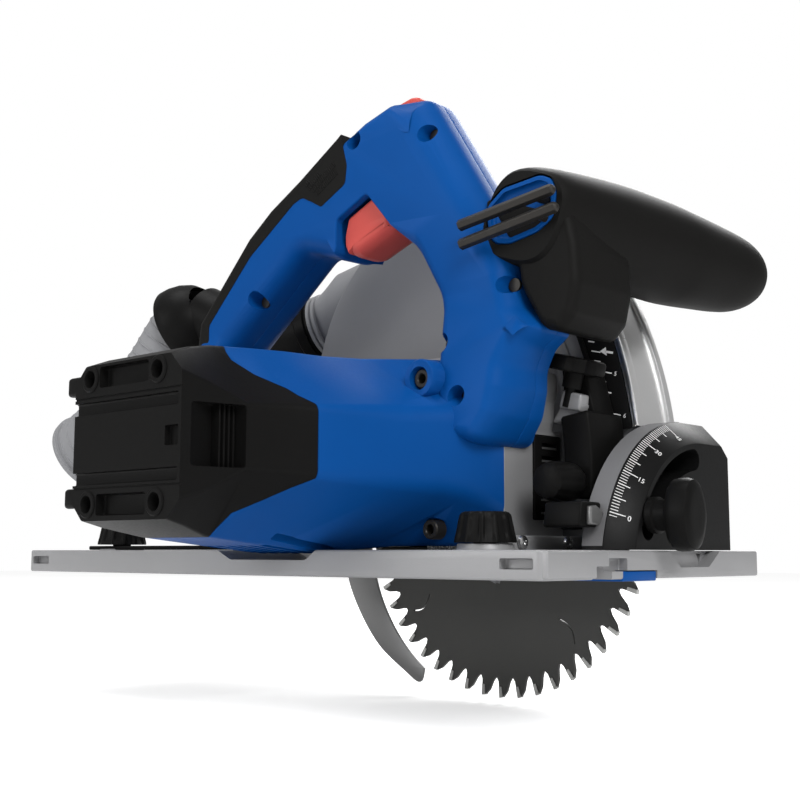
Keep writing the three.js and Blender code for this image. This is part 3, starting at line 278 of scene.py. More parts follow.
def plate(loops, low, high, axis="Y", steps=4):
    """A flat body with rounded edges. Each loop is (points, low edge, high edge); the first is the outside.
    An edge is (inset, depth), or a function of a point that gives them."""
    verts, faces, caps = [], [], ([], [])
    for number, (points, *edges) in enumerate(loops):
        loop = [Vector(p[:2]) for p in points]
        if (area_of(loop) > 0) != (number == 0):
            loop.reverse()
        near, far = [[e(p) if callable(e) else e for p in loop] for e in edges]
        rows = []
        for side, edge in ((0, near), (1, far)):
            levels = [k / steps for k in range(steps + 1)] if max(d for _, d in edge) > 0 else [0]
            for t in levels if side == 0 else levels[::-1]:
                angle = t * math.pi / 2
                moved = inset(loop, [e[0] * (1 - math.sin(angle)) for e in edge])
                depths = [e[1] * (1 - math.cos(angle)) for e in edge]
                levels_here = [high - d if side else low + d for d in depths]
                rows.append([place(axis, p.x, p.y, level) for p, level in zip(moved, levels_here)])
        base, count = len(verts), len(loop)
        for row in rows:
            verts += row
        for r in range(len(rows) - 1):
            for i in range(count):
                a, b = base + r * count + i, base + r * count + (i + 1) % count
                faces.append((a, b, b + count, a + count))
        for cap, row in ((caps[0], 0), (caps[1], len(rows) - 1)):
            cap.append([base + row * count + i for i in range(count)])
    for side, cap in enumerate(caps):
        flat = [i for ring in cap for i in ring]
        drop = {"Y": (0, 2), "X": (1, 2), "Z": (0, 1)}[axis]
        outlines = [[Vector((verts[i][drop[0]], verts[i][drop[1]], 0)) for i in ring] for ring in cap]
        for tri in tessellate_polygon(outlines):
            faces.append(tuple(flat[k] for k in (tri if side else tri[::-1])))
    return verts, faces


def slab(outline, low, high, axis="Y", edge=0, steps=1):
    """A flat body with one outline and the same rounding on both rims."""
    return plate([(outline, (edge, edge), (edge, edge))], low, high, axis, steps)


def loft(rings, closed=True):
    """A skin through rings of equal length."""
    count = len(rings[0])
    verts = [tuple(p) for ring in rings for p in ring]
    faces = []
    for r in range(len(rings) - 1):
        for i in range(count):
            a, b = r * count + i, r * count + (i + 1) % count
            faces.append((a, b, b + count, a + count))
    if closed:
        faces.append(tuple(range(count - 1, -1, -1)))
        faces.append(tuple((len(rings) - 1) * count + i for i in range(count)))
    return verts, faces


def whole_turn(sides):
    """Even angles round a circle, in radians."""
    return [2 * math.pi * k / sides for k in range(sides)]


def frame_of(direction):
    along = Vector(direction).normalized()
    side = along.orthogonal().normalized()
    return side, along.cross(side)


def turned(profile, start, direction, sides=32, closed=True):
    """A body of revolution: profile is (distance along, radius), from start in the given direction."""
    side, up = frame_of(direction)
    along = Vector(direction).normalized()
    rings = []
    for t, r in profile:
        middle = Vector(start) + along * t
        rings.append(
            [middle + (side * math.cos(a) + up * math.sin(a)) * max(r, 0.01) for a in whole_turn(sides)],
        )
    return loft(rings, closed)


def tube(points, radii, sides=20, closed=True):
    """A round tube along a path; radii is one number, or one for each point."""
    points = [Vector(p) for p in points]
    if not hasattr(radii, "__len__"):
        radii = [radii] * len(points)
    side, _ = frame_of(points[1] - points[0])
    rings = []
    for i, (here, r) in enumerate(zip(points, radii)):
        along = (points[min(i + 1, len(points) - 1)] - points[max(i - 1, 0)]).normalized()
        side = (side - along * side.dot(along)).normalized()
        up = along.cross(side)
        rings.append([here + (side * math.cos(a) + up * math.sin(a)) * r for a in whole_turn(sides)])
    return loft(rings, closed)


def smooth_path(points, per=8):
    """A Catmull-Rom curve through the points; works on tuples of any length."""
    points = [Vector(p) for p in points]
    ends = [points[0] * 2 - points[1], *points, points[-1] * 2 - points[-2]]
    out = []
    for i in range(1, len(ends) - 2):
        a, b, c, d = ends[i - 1: i + 3]
        for k in range(per):
            t = k / per
            bend = (a * 2 - b * 5 + c * 4 - d) * t * t
            twist = (b * 3 - a - c * 3 + d) * t ** 3
            out.append((b * 2 + (c - a) * t + bend + twist) / 2)
    return out + [points[-1]]


def block(x0, x1, y0, y1, z0, z1, edge=0.6):
    """A box with rounded edges."""
    corners = [(x0, y0, edge), (x1, y0, edge), (x1, y1, edge), (x0, y1, edge)]
    return slab(rounded(corners, 3), z0, z1, "Z", edge, 3)


def piece(name, shells, slot, body, nodes=(), angle=32, bevel=0.0, segments=2):
    """One named mesh from one or more shells, in millimetres, riding on a body and standing for CAD nodes."""
    verts, faces = [], []
    for v, f in shells:
        base = len(verts)
        verts += [Vector(p) * MM for p in v]
        faces += [tuple(base + i for i in face) for face in f]
    mesh = bpy.data.meshes.new(name)
    mesh.from_pydata(verts, [], faces)
    item = bpy.data.objects.new(name, mesh)
    bpy.context.scene.collection.objects.link(item)
    tidy_mesh(mesh, angle)
    mesh.materials.append(materials[slot])
    if bevel:
        add_bevel(item, bevel, segments)
    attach(item, body)
    if nodes:
        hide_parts(*nodes)
    return item


def tidy_mesh(mesh, angle):
    work = bmesh.new()
    work.from_mesh(mesh)
    bmesh.ops.remove_doubles(work, verts=work.verts, dist=1e-6)
    bmesh.ops.recalc_face_normals(work, faces=work.faces)
    work.to_mesh(mesh)
    work.free()
    mesh.shade_smooth()
    mesh.set_sharp_from_angle(angle=math.radians(angle))


def add_bevel(item, width, segments=2, angle=28):
    modifier = item.modifiers.new("edges", "BEVEL")
    modifier.width = width * MM
    modifier.segments = segments
    modifier.limit_method = "ANGLE"
    modifier.angle_limit = math.radians(angle)
    modifier.harden_normals = True
    modifier.use_clamp_overlap = True


def cut(item, shells, join="DIFFERENCE", angle=32):
    """Cuts each shell out of a piece, keeps only what lies inside it, or joins it on, and applies the result.
    A solver that loses most of the piece is passed over for the next."""
    least_share = 0.4
    for shell in shells:
        mesh = bpy.data.meshes.new("cutter")
        mesh.from_pydata([Vector(p) * MM for p in shell[0]], [], shell[1])
        tidy_mesh(mesh, angle)
        tool = bpy.data.objects.new("cutter", mesh)
        bpy.context.scene.collection.objects.link(tool)
        shown = [(m, m.show_viewport) for m in item.modifiers]
        for m, _ in shown:
            m.show_viewport = False
        modifier = item.modifiers.new("cut", "BOOLEAN")
        modifier.operation = join
        modifier.object = tool
        for solver, own in (("EXACT", False), ("EXACT", True), ("FAST", False)):
            modifier.solver = solver
            modifier.use_self = own
            bpy.context.view_layer.update()
            done = bpy.data.meshes.new_from_object(item.evaluated_get(bpy.context.evaluated_depsgraph_get()))
            if len(done.vertices) > least_share * len(item.data.vertices):
                break
        item.modifiers.remove(modifier)
        for m, was in shown:
            m.show_viewport = was
        item.data = done
        bpy.data.objects.remove(tool)
    item.data.shade_smooth()
    item.data.set_sharp_from_angle(angle=math.radians(angle))
    return item


# ---------------------------------------------------------------- base, bevel quadrants and track knobs
white_paint = surface("white paint", (0.75, 0.75, 0.75), 0.5, bump=0.1)
grey_paint = surface("quadrant grey", (0.17, 0.17, 0.175), 0.45, bump=0.2)
bevel_axis = Vector((39, 0))
quadrant_back = 62.5
scale_rim, scale_face = 66.3, 154.2
angle_at_0, angle_at_45 = 23.4, 76.2


def second_material(item, material, shells):
    """Adds shells in another material to a piece; the first material stays the piece's own slot."""
    mesh = item.data
    work = bmesh.new()
    work.from_mesh(mesh)
    before = len(work.faces)
    for verts, faces in shells:
        made = [work.verts.new(Vector(p) * MM) for p in verts]
        for face in faces:
            work.faces.new([made[i] for i in face])
    work.faces.ensure_lookup_table()
    fresh = work.faces[before:]
    mesh.materials.append(material)
    for face in fresh:
        face.material_index = len(mesh.materials) - 1
        face.smooth = False
    bmesh.ops.recalc_face_normals(work, faces=fresh)
    work.to_mesh(mesh)
    work.free()


def on_rim(angle, r, x):
    """A point of a quadrant face: angle in degrees up from the motor side."""
    t = math.radians(angle)
    return Vector((x, bevel_axis.x - r * math.cos(t), r * math.sin(t)))


def quad_loop(r, right):
    """A quadrant's outline: a quarter circle from the base up, then a straight back with a clipped corner."""
    foot = 11.3
    start = math.degrees(math.asin(foot / r))
    back = [(right - 6, r), (right - 5.2, r - 0.4), (right, r - 5), (right, foot)]
    return [*arc(bevel_axis, r, 180 - start, 90, 40), *[Vector(p) for p in back]]


def quad_slot(half=4.6, low=98, high=157):
    """The curved slot of a quadrant, with round ends."""
    radius = 50
    outer = arc(bevel_axis, radius + half, low, high, 24)
    inner = arc(bevel_axis, radius - half, high, low, 24)
    high_end = arc(polar(bevel_axis, radius, high), half, high, high + 180, 8)[1:-1]
    low_end = arc(polar(bevel_axis, radius, low), half, low + 180, low + 360, 8)[1:-1]
    return outer + high_end + inner + low_end


def build_front_quadrant():
    profile = [(144, 66.2), (144.4, 66.5), (153.8, 66.5), (scale_face, scale_rim), (162.6, 57.4), (163, 56.8)]
    rings = [[(x, *p) for p in quad_loop(r, quadrant_back)] for x, r in profile]
    body = piece("front_quadrant_plate", [loft(rings)], "black_metal", "base", ["front_bevel_quadrant"])
    relief = [*arc(bevel_axis, 43, 156, 84, 24), (58, 40), (58, 15), (1, 15)]
    cut(body, [slab(quad_slot(), 140, 170, "X"), slab(relief, 140, 157, "X")])
    painted = arc(bevel_axis, 66.72, 169, 92, 48) + arc(bevel_axis, 64.72, 92, 169, 48)
    band = [[(x, *p) for p in painted] for x in (144.2, 153.7)]
    marks = []
    for degree in range(-1, 46):
        long = 6.6 if degree % 15 == 0 else 5.2 if degree % 5 == 0 else 3.2
        marks.append(rim_mark(scale_angle(degree), 0.13 if degree % 5 else 0.19, long))
    second_material(body, white_paint, marks)
    second_material(body, grey_paint, [loft(band)])
    for degree in (0, 15, 30, 45):
        rim_number(str(degree), scale_angle(degree))
    nub = turned([(-0.1, 3.4), (0.8, 3.4), (1.4, 2.8), (2.6, 2.4), (3, 1.6)], (153, 62.2, 51), (0, 1, 0), 20)
    piece("quadrant_end_stop", [nub], "black_metal", "base")


def scale_angle(degree):
    """Where on the quadrant a tilt is marked."""
    return angle_at_0 + degree * (angle_at_45 - angle_at_0) / 45


def cone_point(angle, along, lift=0.12):
    """A point on the sloping scale face, a distance in from its outer edge."""
    run, drop = 8.4, 8.9
    slope = math.hypot(run, drop)
    x = scale_face + run * along / slope
    r = scale_rim - drop * along / slope
    return on_rim(angle, r + lift * run / slope, x + lift * drop / slope)


def rim_mark(angle, half, long):
    """A painted line across the sloping face, sunk a little below it and standing a little above."""
    degrees = math.degrees(half / 66)
    start, end = 0.4, 0.4 + long
    corners = [(-degrees, start), (degrees, start), (degrees, end), (-degrees, end)]
    low = [cone_point(angle + turn, along, -0.2) for turn, along in corners]
    return loft([low, [cone_point(angle + turn, along) for turn, along in corners]])


def lettering(name, text, size, corner, right, up, lift, body):
    """Small raised numerals in a plane given by its corner and two directions."""
    curve = bpy.data.curves.new(name, "FONT")
    curve.body = text
    curve.size = size * MM
    curve.extrude = 0.08 * MM
    curve.align_x = "CENTER"
    curve.align_y = "CENTER"
    shape = bpy.data.objects.new(name, curve)
    bpy.context.scene.collection.objects.link(shape)
    mesh = bpy.data.meshes.new_from_object(shape.evaluated_get(bpy.context.evaluated_depsgraph_get()))
    bpy.data.objects.remove(shape)
    across, rise = Vector(right).normalized(), Vector(up).normalized()
    out = across.cross(rise)
    for vertex in mesh.vertices:
        p = vertex.co
        vertex.co = (Vector(corner) + out * lift) * MM + across * p.x + rise * p.y + out * p.z
    item = bpy.data.objects.new(name, mesh)
    bpy.context.scene.collection.objects.link(item)
    mesh.materials.append(white_paint)
    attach(item, body)


def rim_number(text, angle):
    place_at = cone_point(angle - 0.6, 8.6)
    inward = cone_point(angle, 5) - cone_point(angle, 0)
    around = on_rim(angle + 1, 60, 158) - on_rim(angle, 60, 158)
    lettering(f"bevel_mark_{text}", text, 3.1, place_at, inward, around, 0.05, "base")


def build_rear_quadrant():
    loop = quad_loop(66.5, quadrant_back)
    body = plate([(loop, (1, 1), (1, 1)), (quad_slot(), (0.5, 0.5), (0.5, 0.5))], -80, -68.5, "X", 3)
    piece("rear_quadrant_plate", [body], "black_metal", "base", ["rear_bevel_quadrant"])


def build_base():
    x, y, top = 166, 84, 11
    outline = rounded([(-x, -y, 3), (x, -y, 3), (x, y, 3), (-x, y, 3)], 5)
    window = rounded([(-68.8, 19.5, 3), (-68.8, 75, 3), (146, 75, 3), (146, 19.5, 3)], 4)
    casting = plate([(outline, (0.9, 0.9), (0.9, 0.9)), (window, (0.6, 0.6), (0.6, 0.6))], 0, top, "Z", 3)
    body = piece("base_casting", [casting], "cast_aluminium", "base", ["base_plate"])
    step = block(164, 167.6, -83, -43, 0.6, 10.6, 0.7)
    ledge = block(117, 123, -46, 19, 10, 17, 0.9)
    post_outline = rounded([(3, 9), (19, 9), (17, 16, 2), (17, 24, 1), (7, 24, 1), (6, 16, 2)])
    post = slab(post_outline, 124, 130, "X", 0.7, 3)
    pad = turned([(0, 12.4), (1.5, 11.4), (3.3, 11), (3.6, 10.6)], (122, -60, 10), (0, 0, 1), 40)
    rear_pad = turned([(0, 12.4), (0.6, 11.4), (1.3, 11)], (-117, -60, 10.4), (0, 0, 1), 40)
    cut(body, [step, ledge, post, pad, rear_pad], "UNION")
    well = block(30, 77, -20, 25, -1, 20, 2)
    relief = slab(rounded([(-15.5, 13), (-2, 6.8, 6), (46, 6.8, 6), (54.5, 13)]), -y - 2, -36)
    pockets = [block(start, start + 15, -y - 2, -y + 4, 4, 8, 0.8) for start in (-162, 147)]
    pockets.append(block(x - 4, x + 4, -43, -28, 3, 8, 0.8))
    notch = slab(rounded([(1, 13), (50, 13), (37, 4.2, 3), (13, 4.2, 3)]), x - 6, x + 2, "X")
    mark = slab([(37, 9.8), (41, 9.8), (39, 5.9)], x - 8.4, x - 5, "X")
    groove = block(-x - 2, x + 3, -52, -39, -2, 5, 0.6)
    under = block(-140, 100, -78, -71, -2, 5, 1.5)
    tab_pocket = block(128, x + 2, -31.3, -5.7, -2, 3.3, 0.5)
    top_groove = [block(-150, 112, -37.2, -36, 10.4, 13, 0.2), block(-100, -80, 40, 76, 9.6, 13, 1.2)]
    cut(body, [well, relief, *pockets, notch, mark, groove, under, tab_pocket, *top_groove])
    add_bevel(body, 0.5, 2, 40)
    build_base_fittings()


def build_base_fittings():
    tab = block(128.4, 165.6, -31, -6, -0.9, 3, 0.5)
    piece("track_slide_tab", [tab], "blue_plastic", "base", ["track_contact_tab"])
    strip_outline = rounded([(-136, -69, 4), (-22, -69, 4), (-22, -52, 4), (-136, -52, 4)], 5)
    strip = slab(strip_outline, 11.2, 13.2, "Z", 0.6, 3)
    ridges = [turned([(0, 3.4), (0.7, 2.8)], (-44 + 12 * i, -60.5, 13.1), (0, 0, 1), 24) for i in range(2)]
    piece("rear_knob_plate", [strip, *ridges], "black_plastic", "base", ["rear_knob_strip"])
    dished = [(0, 2.4), (0.3, 2.9), (1.5, 2.7), (2.1, 1.8), (2.2, 1.1), (1.3, 1.0), (1.3, 0.01)]
    for i, screw_y in enumerate((-38, -6)):
        head = turned(dished, (123.1, screw_y, 14.1), (1, 0, 0), 24)
        piece(f"ledge_screw_head_{i + 1}", [head], "bright_steel", "base", [f"ledge_screw_{i + 1}"])
    for label, at in (("front", 122), ("rear", -117)):
        build_track_knob(label, at)


def build_track_knob(label, at):
    """A fluted cap with a flared foot, on a stem that ends in an off-centre cam."""
    knob_y, cam_offset, flutes = -60, 1.4, 12
    # height, radius, depth of the flutes
    profile = [
        (13.9, 12.4, 0.3), (15.2, 12.3, 0.8), (18, 11.6, 1.0), (22.5, 10.7, 1.0),
        (24.6, 10.2, 0.7), (25.6, 9.3, 0.3), (25.9, 8.4, 0.1), (25.5, 6.6, 0),
    ]
    rings = []
    for z, r, depth in profile:
        ring = []
        for a in whole_turn(96):
            reach = r - depth * (1 - max(0.0, math.cos(flutes * a)) ** 0.5)
            ring.append((at + reach * math.cos(a), knob_y + reach * math.sin(a), z))
        rings.append(ring)
    stem = turned([(0, 4.6), (11, 4.6)], (at, knob_y, 3), (0, 0, 1), 24)
    cam = turned(
        [(0, 7.2), (0.4, 7.6), (3.7, 7.6), (4.1, 7.2)], (at, knob_y + cam_offset, 0.8), (0, 0, 1), 36,
    )
    piece(
        f"{label}_track_knob", [loft(rings), stem, cam], "black_plastic", f"{label}_track_cam",
        [f"{label}_track_cam_knob"],
    )


build_front_quadrant()
build_rear_quadrant()
build_base()


# ---------------------------------------------------------------- blade and riving knife
arbor = Vector((53.5, 23.7))


def build_blade():
    teeth, radius, y, half = 48, 82.5, 39.0, 0.8
    pitch = 360 / teeth
    # each tooth and its gullet: how far in from the tips, degrees on from the tip
    tooth = [(0, 0), (0.9, 1.4), (3.0, 2.7), (7.4, 4.1), (9.3, 5.2), (9.2, 6.1), (7.6, 6.8), (3.2, 7.15)]
    outline = [polar(arbor, radius - drop, i * pitch + turn) for i in range(teeth) for drop, turn in tooth]
    slots = [blade_slot(38 + 90 * i, 56, 70, 0.35) for i in range(4)]
    holes = [(ring_of(arbor, 5.2, 40), (0.1, 0.1), (0.1, 0.1)), *[(s, (0, 0), (0, 0)) for s in slots]]
    disc = plate([(outline, (0, 0), (0, 0)), *holes], y - half, y + half, "Y", 1)
    body = piece("blade_disc", [disc], "blade_steel", "blade_spindle", ["saw_blade"])
    tips = [carbide_tip(i * pitch, radius, y, 0.07 if i % 2 else -0.07) for i in range(teeth)]
    second_material(body, surface("carbide", (0.36, 0.36, 0.35), 0.32, metal=0.9, bump=0.1), tips)


def blade_slot(angle, low, high, half):
    """A thin slot that sways a little on its way out, between two radii."""
    inner, outer = [], []
    for k in range(13):
        r = low + (high - low) * k / 12
        sway = 2.5 * math.sin(math.pi * k / 12)
        inner.append(polar(arbor, r, angle + sway - math.degrees(half / r)))
        outer.append(polar(arbor, r, angle + sway + math.degrees(half / r)))
    return inner + outer[::-1]


def carbide_tip(angle, radius, y, lean):
    """A tip a little wider than the disc, whose outer end leans to one side."""
    half = 1.15
    # in from the tips, degrees on from the tip, sideways lean
    corners = [(5.2, -0.45, 0), (-0.05, -0.15, lean), (0.35, 1.2, lean), (5.2, 0.75, 0)]
    loop = [(polar(arbor, radius - drop, angle + turn), shift) for drop, turn, shift in corners]
    return loft([[(p.x, side + shift, p.y) for p, shift in loop] for side in (y - half, y + half)])


def build_knife():
    inner = arc(arbor, 86.5, 168, 236, 40)
    outer = smooth_path(
        [(5.4, -48), (2, -55), (-8, -50), (-26, -38), (-40, -21), (-49, -3), (-51, 16), (-50, 42)], 6,
    )
    outline = [*inner, *[Vector(p) for p in outer[3:]]]
    hole = ring_of((-42, 32), 2.6, 20)
    body = plate([(outline, (0.3, 0.3), (0.3, 0.3)), (hole, (0.2, 0.2), (0.2, 0.2))], 38.3, 39.9, "Y", 2)
    piece("riving_knife_blade", [body], "satin_steel", "head", ["riving_knife"])


build_blade()
build_knife()


# ---------------------------------------------------------------- D-handle
handle_near, handle_seam, handle_far = -46.0, -29.0, -12.0
handle_back = [
    (24, 203.5), (-2.5, 190.5), (-23.5, 179), (-39.5, 167.3), (-56, 150), (-77, 128.3), (-79.5, 112),
    (-74, 101, 6),
]
soft_edge_inner = [
    (-62, 101), (-67, 111, 4), (-67, 125, 4), (-36, 156, 30), (-5, 177, 5), (1, 179, 4), (8, 175.5, 3),
    (14, 172, 2),
    (30, 180, 4), (31, 189, 6), (28.5, 198, 3), (27, 204.6),
]
handle_opening = [
    (87, 90), (86.5, 112, 14), (84.5, 120, 20), (72, 141.8, 30), (58, 155.5, 4), (43, 173, 3),
    (24.1, 164, 2.5), (24, 146, 4),
    (10, 150.5, 6), (-2, 154.3, 12), (-56, 111.6, 10), (-59, 90),
]
trigger_outline = [
    (24.8, 157, 3), (24.9, 152.2, 4), (27.5, 147.2, 3.5), (33, 146.8, 4), (57, 155.8, 4), (52, 163, 4),
    (44.5, 171.5, 2.5),
    (42, 172, 2), (27, 165.2, 3),
]
shell_front = [
    (40, 208.5), (56, 213, 10), (74, 213, 7), (78.6, 206, 8), (104.7, 163.6, 8), (117, 145, 8),
    (121, 125, 10), (127, 110, 8),
    (137.8, 100.2, 3), (129, 93.5, 10), (124.8, 85, 10), (124.6, 76, 12), (121, 65, 12), (113, 52.5, 8),
    (99.5, 55.5, 7),
    (92, 67, 8), (87, 78, 10),
]
# x, depth of the shell's face, z
handle_screws = [
    (78, -46.6, 194), (35, -46.6, 200), (-33, -46.6, 134), (121, -46.6, 120), (90, -50.4, 98),
    (102, -54.6, 74),
]


def on_front_slope(p):
    return p.x > 60 and p.y > 140 and p.x + p.y * 0.62 > 196


def near_edge(p):
    """The rounding of the handle's side: small round the finger opening's top, large on the front slope."""
    if line_gap(p, handle_opening) < 1.5:
        if 22 < p.x < 60 and p.y > 142:
            return (0.9, 0.9)
        return (6.5, 8.5) if p.x > 58 else (8, 10)
    if on_front_slope(p):
        return (17, 12)
    if p.x > 100 and p.y < 130:
        return (9, 13) if p.y > 70 else (7, 9)
    return (5.5, 8)


def line_gap(p, corners):
    """How far a point is from a chain of corners."""
    line = [Vector(q[:2]) for q in corners]
    return min(segment_gap(p, a, b) for a, b in zip(line, line[1:]))


def segment_gap(p, a, b):
    along = b - a
    t = max(0, min(1, (p - a).dot(along) / along.dot(along)))
    return (p - a - along * t).length


def handle_half(low, high, outer_low, outer_high):
    back = [(x + 1.2, z - 1.8) for x, z, *_ in handle_back]
    outline = [*shell_front, *handle_opening, (-73, 90), *back[::-1][1:]]
    return plate([(rounded(outline), outer_low, outer_high)], low, high, "Y", 6)


def lean_out(item, level, slope, far):
    """Lets the near face of a piece lean outwards below a level, while its far side stays where it is."""
    work = bmesh.new()
    work.from_mesh(item.data)
    everything = work.verts[:] + work.edges[:] + work.faces[:]
    bmesh.ops.bisect_plane(work, geom=everything, plane_co=(0, 0, level * MM), plane_no=(0, 0, 1))
    for vertex in work.verts:
        y, z = vertex.co.y / MM, vertex.co.z / MM
        share = max(0.0, min(1.0, (far - y) / (far - handle_near)))
        vertex.co.y -= max(0.0, level - z) * slope * share * MM
    work.to_mesh(item.data)
    work.free()


def build_handle():
    seam = (0.35, 0.35)
    left = piece(
        "handle_left_shell",
        [handle_half(handle_near, handle_seam - 0.02, near_edge, seam)],
        "blue_plastic", "head", ["handle_half_left"],
    )
    lean_out(left, 118, 0.17, handle_seam)
    well = [(0, 4.6), (7, 3.9), (9.6, 3.3), (9.7, 0.01)]
    cut(left, [turned(well, at, (0, 1, 0), 28) for at in handle_screws])
    cut(left, [trigger_pocket()])
    right = piece(
        "handle_right_shell",
        [handle_half(handle_seam + 0.02, handle_far, seam, near_edge)],
        "blue_plastic", "head", ["handle_half_right"],
    )
    cut(right, [block(112, 160, handle_seam + 9.5, 2, 40, 108, 1), trigger_pocket()])
    head = [(0, 1.6), (0.1, 2.9), (1.2, 3.0), (1.3, 3.0)]
    screws = [turned(head, (x, y + 8.4, z), (0, 1, 0), 20) for x, y, z in handle_screws]
    piece("handle_screws", screws, "dark_steel", "head")
    build_soft_grip()
    build_trigger()


def build_soft_grip():
    """The soft back of the grip, proud of both shells, with its fan of fine ribs on each side."""
    outline = rounded([*soft_edge_inner, *handle_back])

    def edge(p):
        share = min(1.0, max(0.0, line_gap(p, soft_edge_inner) - 1.2) / 9)
        return (0.5 + 5 * share, 0.5 + 7.5 * share)

    over = plate([(outline, edge, edge)], handle_near - 0.3, handle_far + 0.3, "Y", 6)
    ribs = []
    for side in (handle_near - 0.3, handle_far + 0.3):
        ribs += fan_of_ribs(side)
    piece("handle_soft_grip", [over, *ribs], "black_rubber", "head", ["handle_overmold"])


def fan_of_ribs(side):
    """Fine ribs in five wedges that fan out from a point beside the grip."""
    origin = Vector((-22, 158))
    out = []
    bounds = rounded([(24, 194), (25.5, 183), (13.5, 176.2), (2.5, 184.5), (0.5, 186)], 1)
    for wedge in range(5):
        low = 30 + wedge * 4.5
        for k in range(26):
            ends = [polar(origin, 28 + k * 1.15, a) for a in (low + 0.35, low + 4.15)]
            if all(inside(p, bounds) for p in ends):
                out.append(bar(ends[0], ends[1], 0.34, side, 0.28))
    return out


def inside(p, loop):
    """Whether a point lies within an outline."""
    hit = False
    for a, b in zip(loop, loop[1:] + loop[:1]):
        if (a.y > p.y) != (b.y > p.y) and p.x < a.x + (p.y - a.y) * (b.x - a.x) / (b.y - a.y):
            hit = not hit
    return hit


def bar(a, b, half, y, height):
    """A thin raised bar between two points of a face that looks along Y."""
    across = Vector((a.y - b.y, b.x - a.x)).normalized() * half
    outline = [a - across, b - across, b + across, a + across]
    return slab(outline, y - height, y + height, "Y", 0.15)


def trigger_pocket():
    """Room inside the grip for the trigger at rest and fully squeezed."""
    rest = rounded(trigger_outline, 3)
    both = rest + [p + Vector((-2.6, 4.5)) for p in rest]
    hull = [both[i] for i in convex_hull_2d(both)]
    return slab(shrunk(hull, -0.4), -41.8, -16.2)


def build_trigger():
    def edge(p):
        return (5.5, 8) if p.y < 160 and p.x > 27 else (1.6, 2.2)

    lever = plate([(rounded(trigger_outline, 6), edge, edge)], -41.2, -16.8, "Y", 6)
    piece("trigger_lever", [lever], "red_plastic", "power_trigger", ["trigger"])
    button_outline = rounded(
        [(46, 204), (60, 207), (66, 211), (66.5, 216.2, 2.5), (61, 217, 3), (48, 214.5, 3)], 5,
    )
    button = plate([(button_outline, (1.6, 1.8), (1.6, 1.8))], -35.5, -22.5, "Y", 4)
    piece("lock_off_slider", [button], "red_plastic", "lock_off", ["lock_off_button"])


build_handle()


# ---------------------------------------------------------------- front handle and stored key
front_line = [
    # y, x, z, half width, half height
    (-43.5, 129, 147, 20.0, 18.6), (-40, 129.3, 147.2, 21.4, 20.6), (-30, 130.5, 147.5, 22.6, 22.2),
    (0, 136.5, 147, 22.8, 22.4),
    (30, 143.5, 144.4, 22.5, 22.2), (43, 147.2, 142.6, 21.9, 21.9), (60, 152.0, 140.9, 20.3, 20.3),
    (72, 155.6, 139.6, 18.9, 18.9),
    (80, 157.9, 138.9, 17.2, 17.2), (86.5, 159.8, 138.4, 13.9, 13.9), (89.6, 160.7, 138.2, 10, 10),
    (90.8, 161, 138.1, 5, 5),
]
insert_rim = [
    (110.7, 146, 6), (113.8, 137.3, 6), (122.6, 135.8, 8), (136.7, 138.3, 10), (145.6, 143.3, 8),
    (146.7, 153.8, 6), (144.4, 160, 5),
    (138.6, 162.9, 8), (119.2, 161, 8), (110.2, 154.2, 5),
]


def build_front_handle():
    lean = math.radians(24)
    rings = []
    for y, x, z, wide, tall in smooth_path(front_line, 3):
        ring = []
        for a in whole_turn(48):
            squarer = 1 + 0.05 * math.cos(4 * a) * max(0.0, min(1.0, (10 - y) / 50))
            u, v = math.cos(a) * wide * squarer, math.sin(a) * tall * squarer
            ring.append(
                (x + u * math.cos(lean) - v * math.sin(lean), y, z + u * math.sin(lean) + v * math.cos(lean)),
            )
        rings.append(ring)
    neck_outline = [
        (104, 160, 6), (112, 150, 6), (123.9, 128.1, 4), (125.3, 119.1, 4), (127.3, 114.6, 4),
        (134.6, 102, 3), (137.5, 99.4, 2),
        (144.7, 97.6, 4), (151, 104, 6), (154, 117, 10), (153, 132, 10), (150, 146, 8), (125, 156),
    ]
    neck = plate([(rounded(neck_outline, 6), (4, 5), (5, 6))], -41.5, 3, "Y", 6)
    grip = piece("front_handle_grip", [loft(rings)], "black_rubber", "head", ["front_handle"])
    piece("front_handle_neck", [neck], "black_rubber", "head")
    rim = rounded(insert_rim, 6)
    cut(grip, [slab(rim, -50, -36.8)])
    add_bevel(grip, 0.8, 2, 40)
    tray = plate([(shrunk(rim, 0.6), (0.8, 0.8), (0.1, 0.1))], -43.6, -37, "Y", 3)
    insert = piece("key_holder", [tray], "blue_plastic", "head", ["front_handle_insert"])
    cut(insert, [plate([(shrunk(rim, 2.6), (0, 0), (1.6, 1.6))], -46, -41.2, "Y", 3)])
    build_key()


def build_key():
    """Two six-sided arms lying across the holder on short stems, with rounded right ends."""
    shells = []
    for tip, heel, stem in (((103.5, 145.4), (147, 152.8), 140), ((104, 137.2), (148.5, 145.3), 140.5)):
        start = Vector((tip[0], -52.4, tip[1]))
        end = Vector((heel[0], -49, heel[1]))
        along = (end - start).normalized()
        nose = [end + along * (2.4 * math.sin(math.radians(a))) for a in (30, 60, 85)]
        radii = [2.55, 2.55, 2.2, 1.3, 0.3]
        shells.append(tube([start, end, *nose], radii, 6))
        share = (stem - tip[0]) / (heel[0] - tip[0])
        foot = start.lerp(end, share)
        shells.append(tube([foot, foot + Vector((0, 13, 0))], 2.1, 6))
    piece("stored_hex_key", shells, "dark_steel", "stored_key", ["hex_key"], angle=25, bevel=0.35)


build_front_handle()


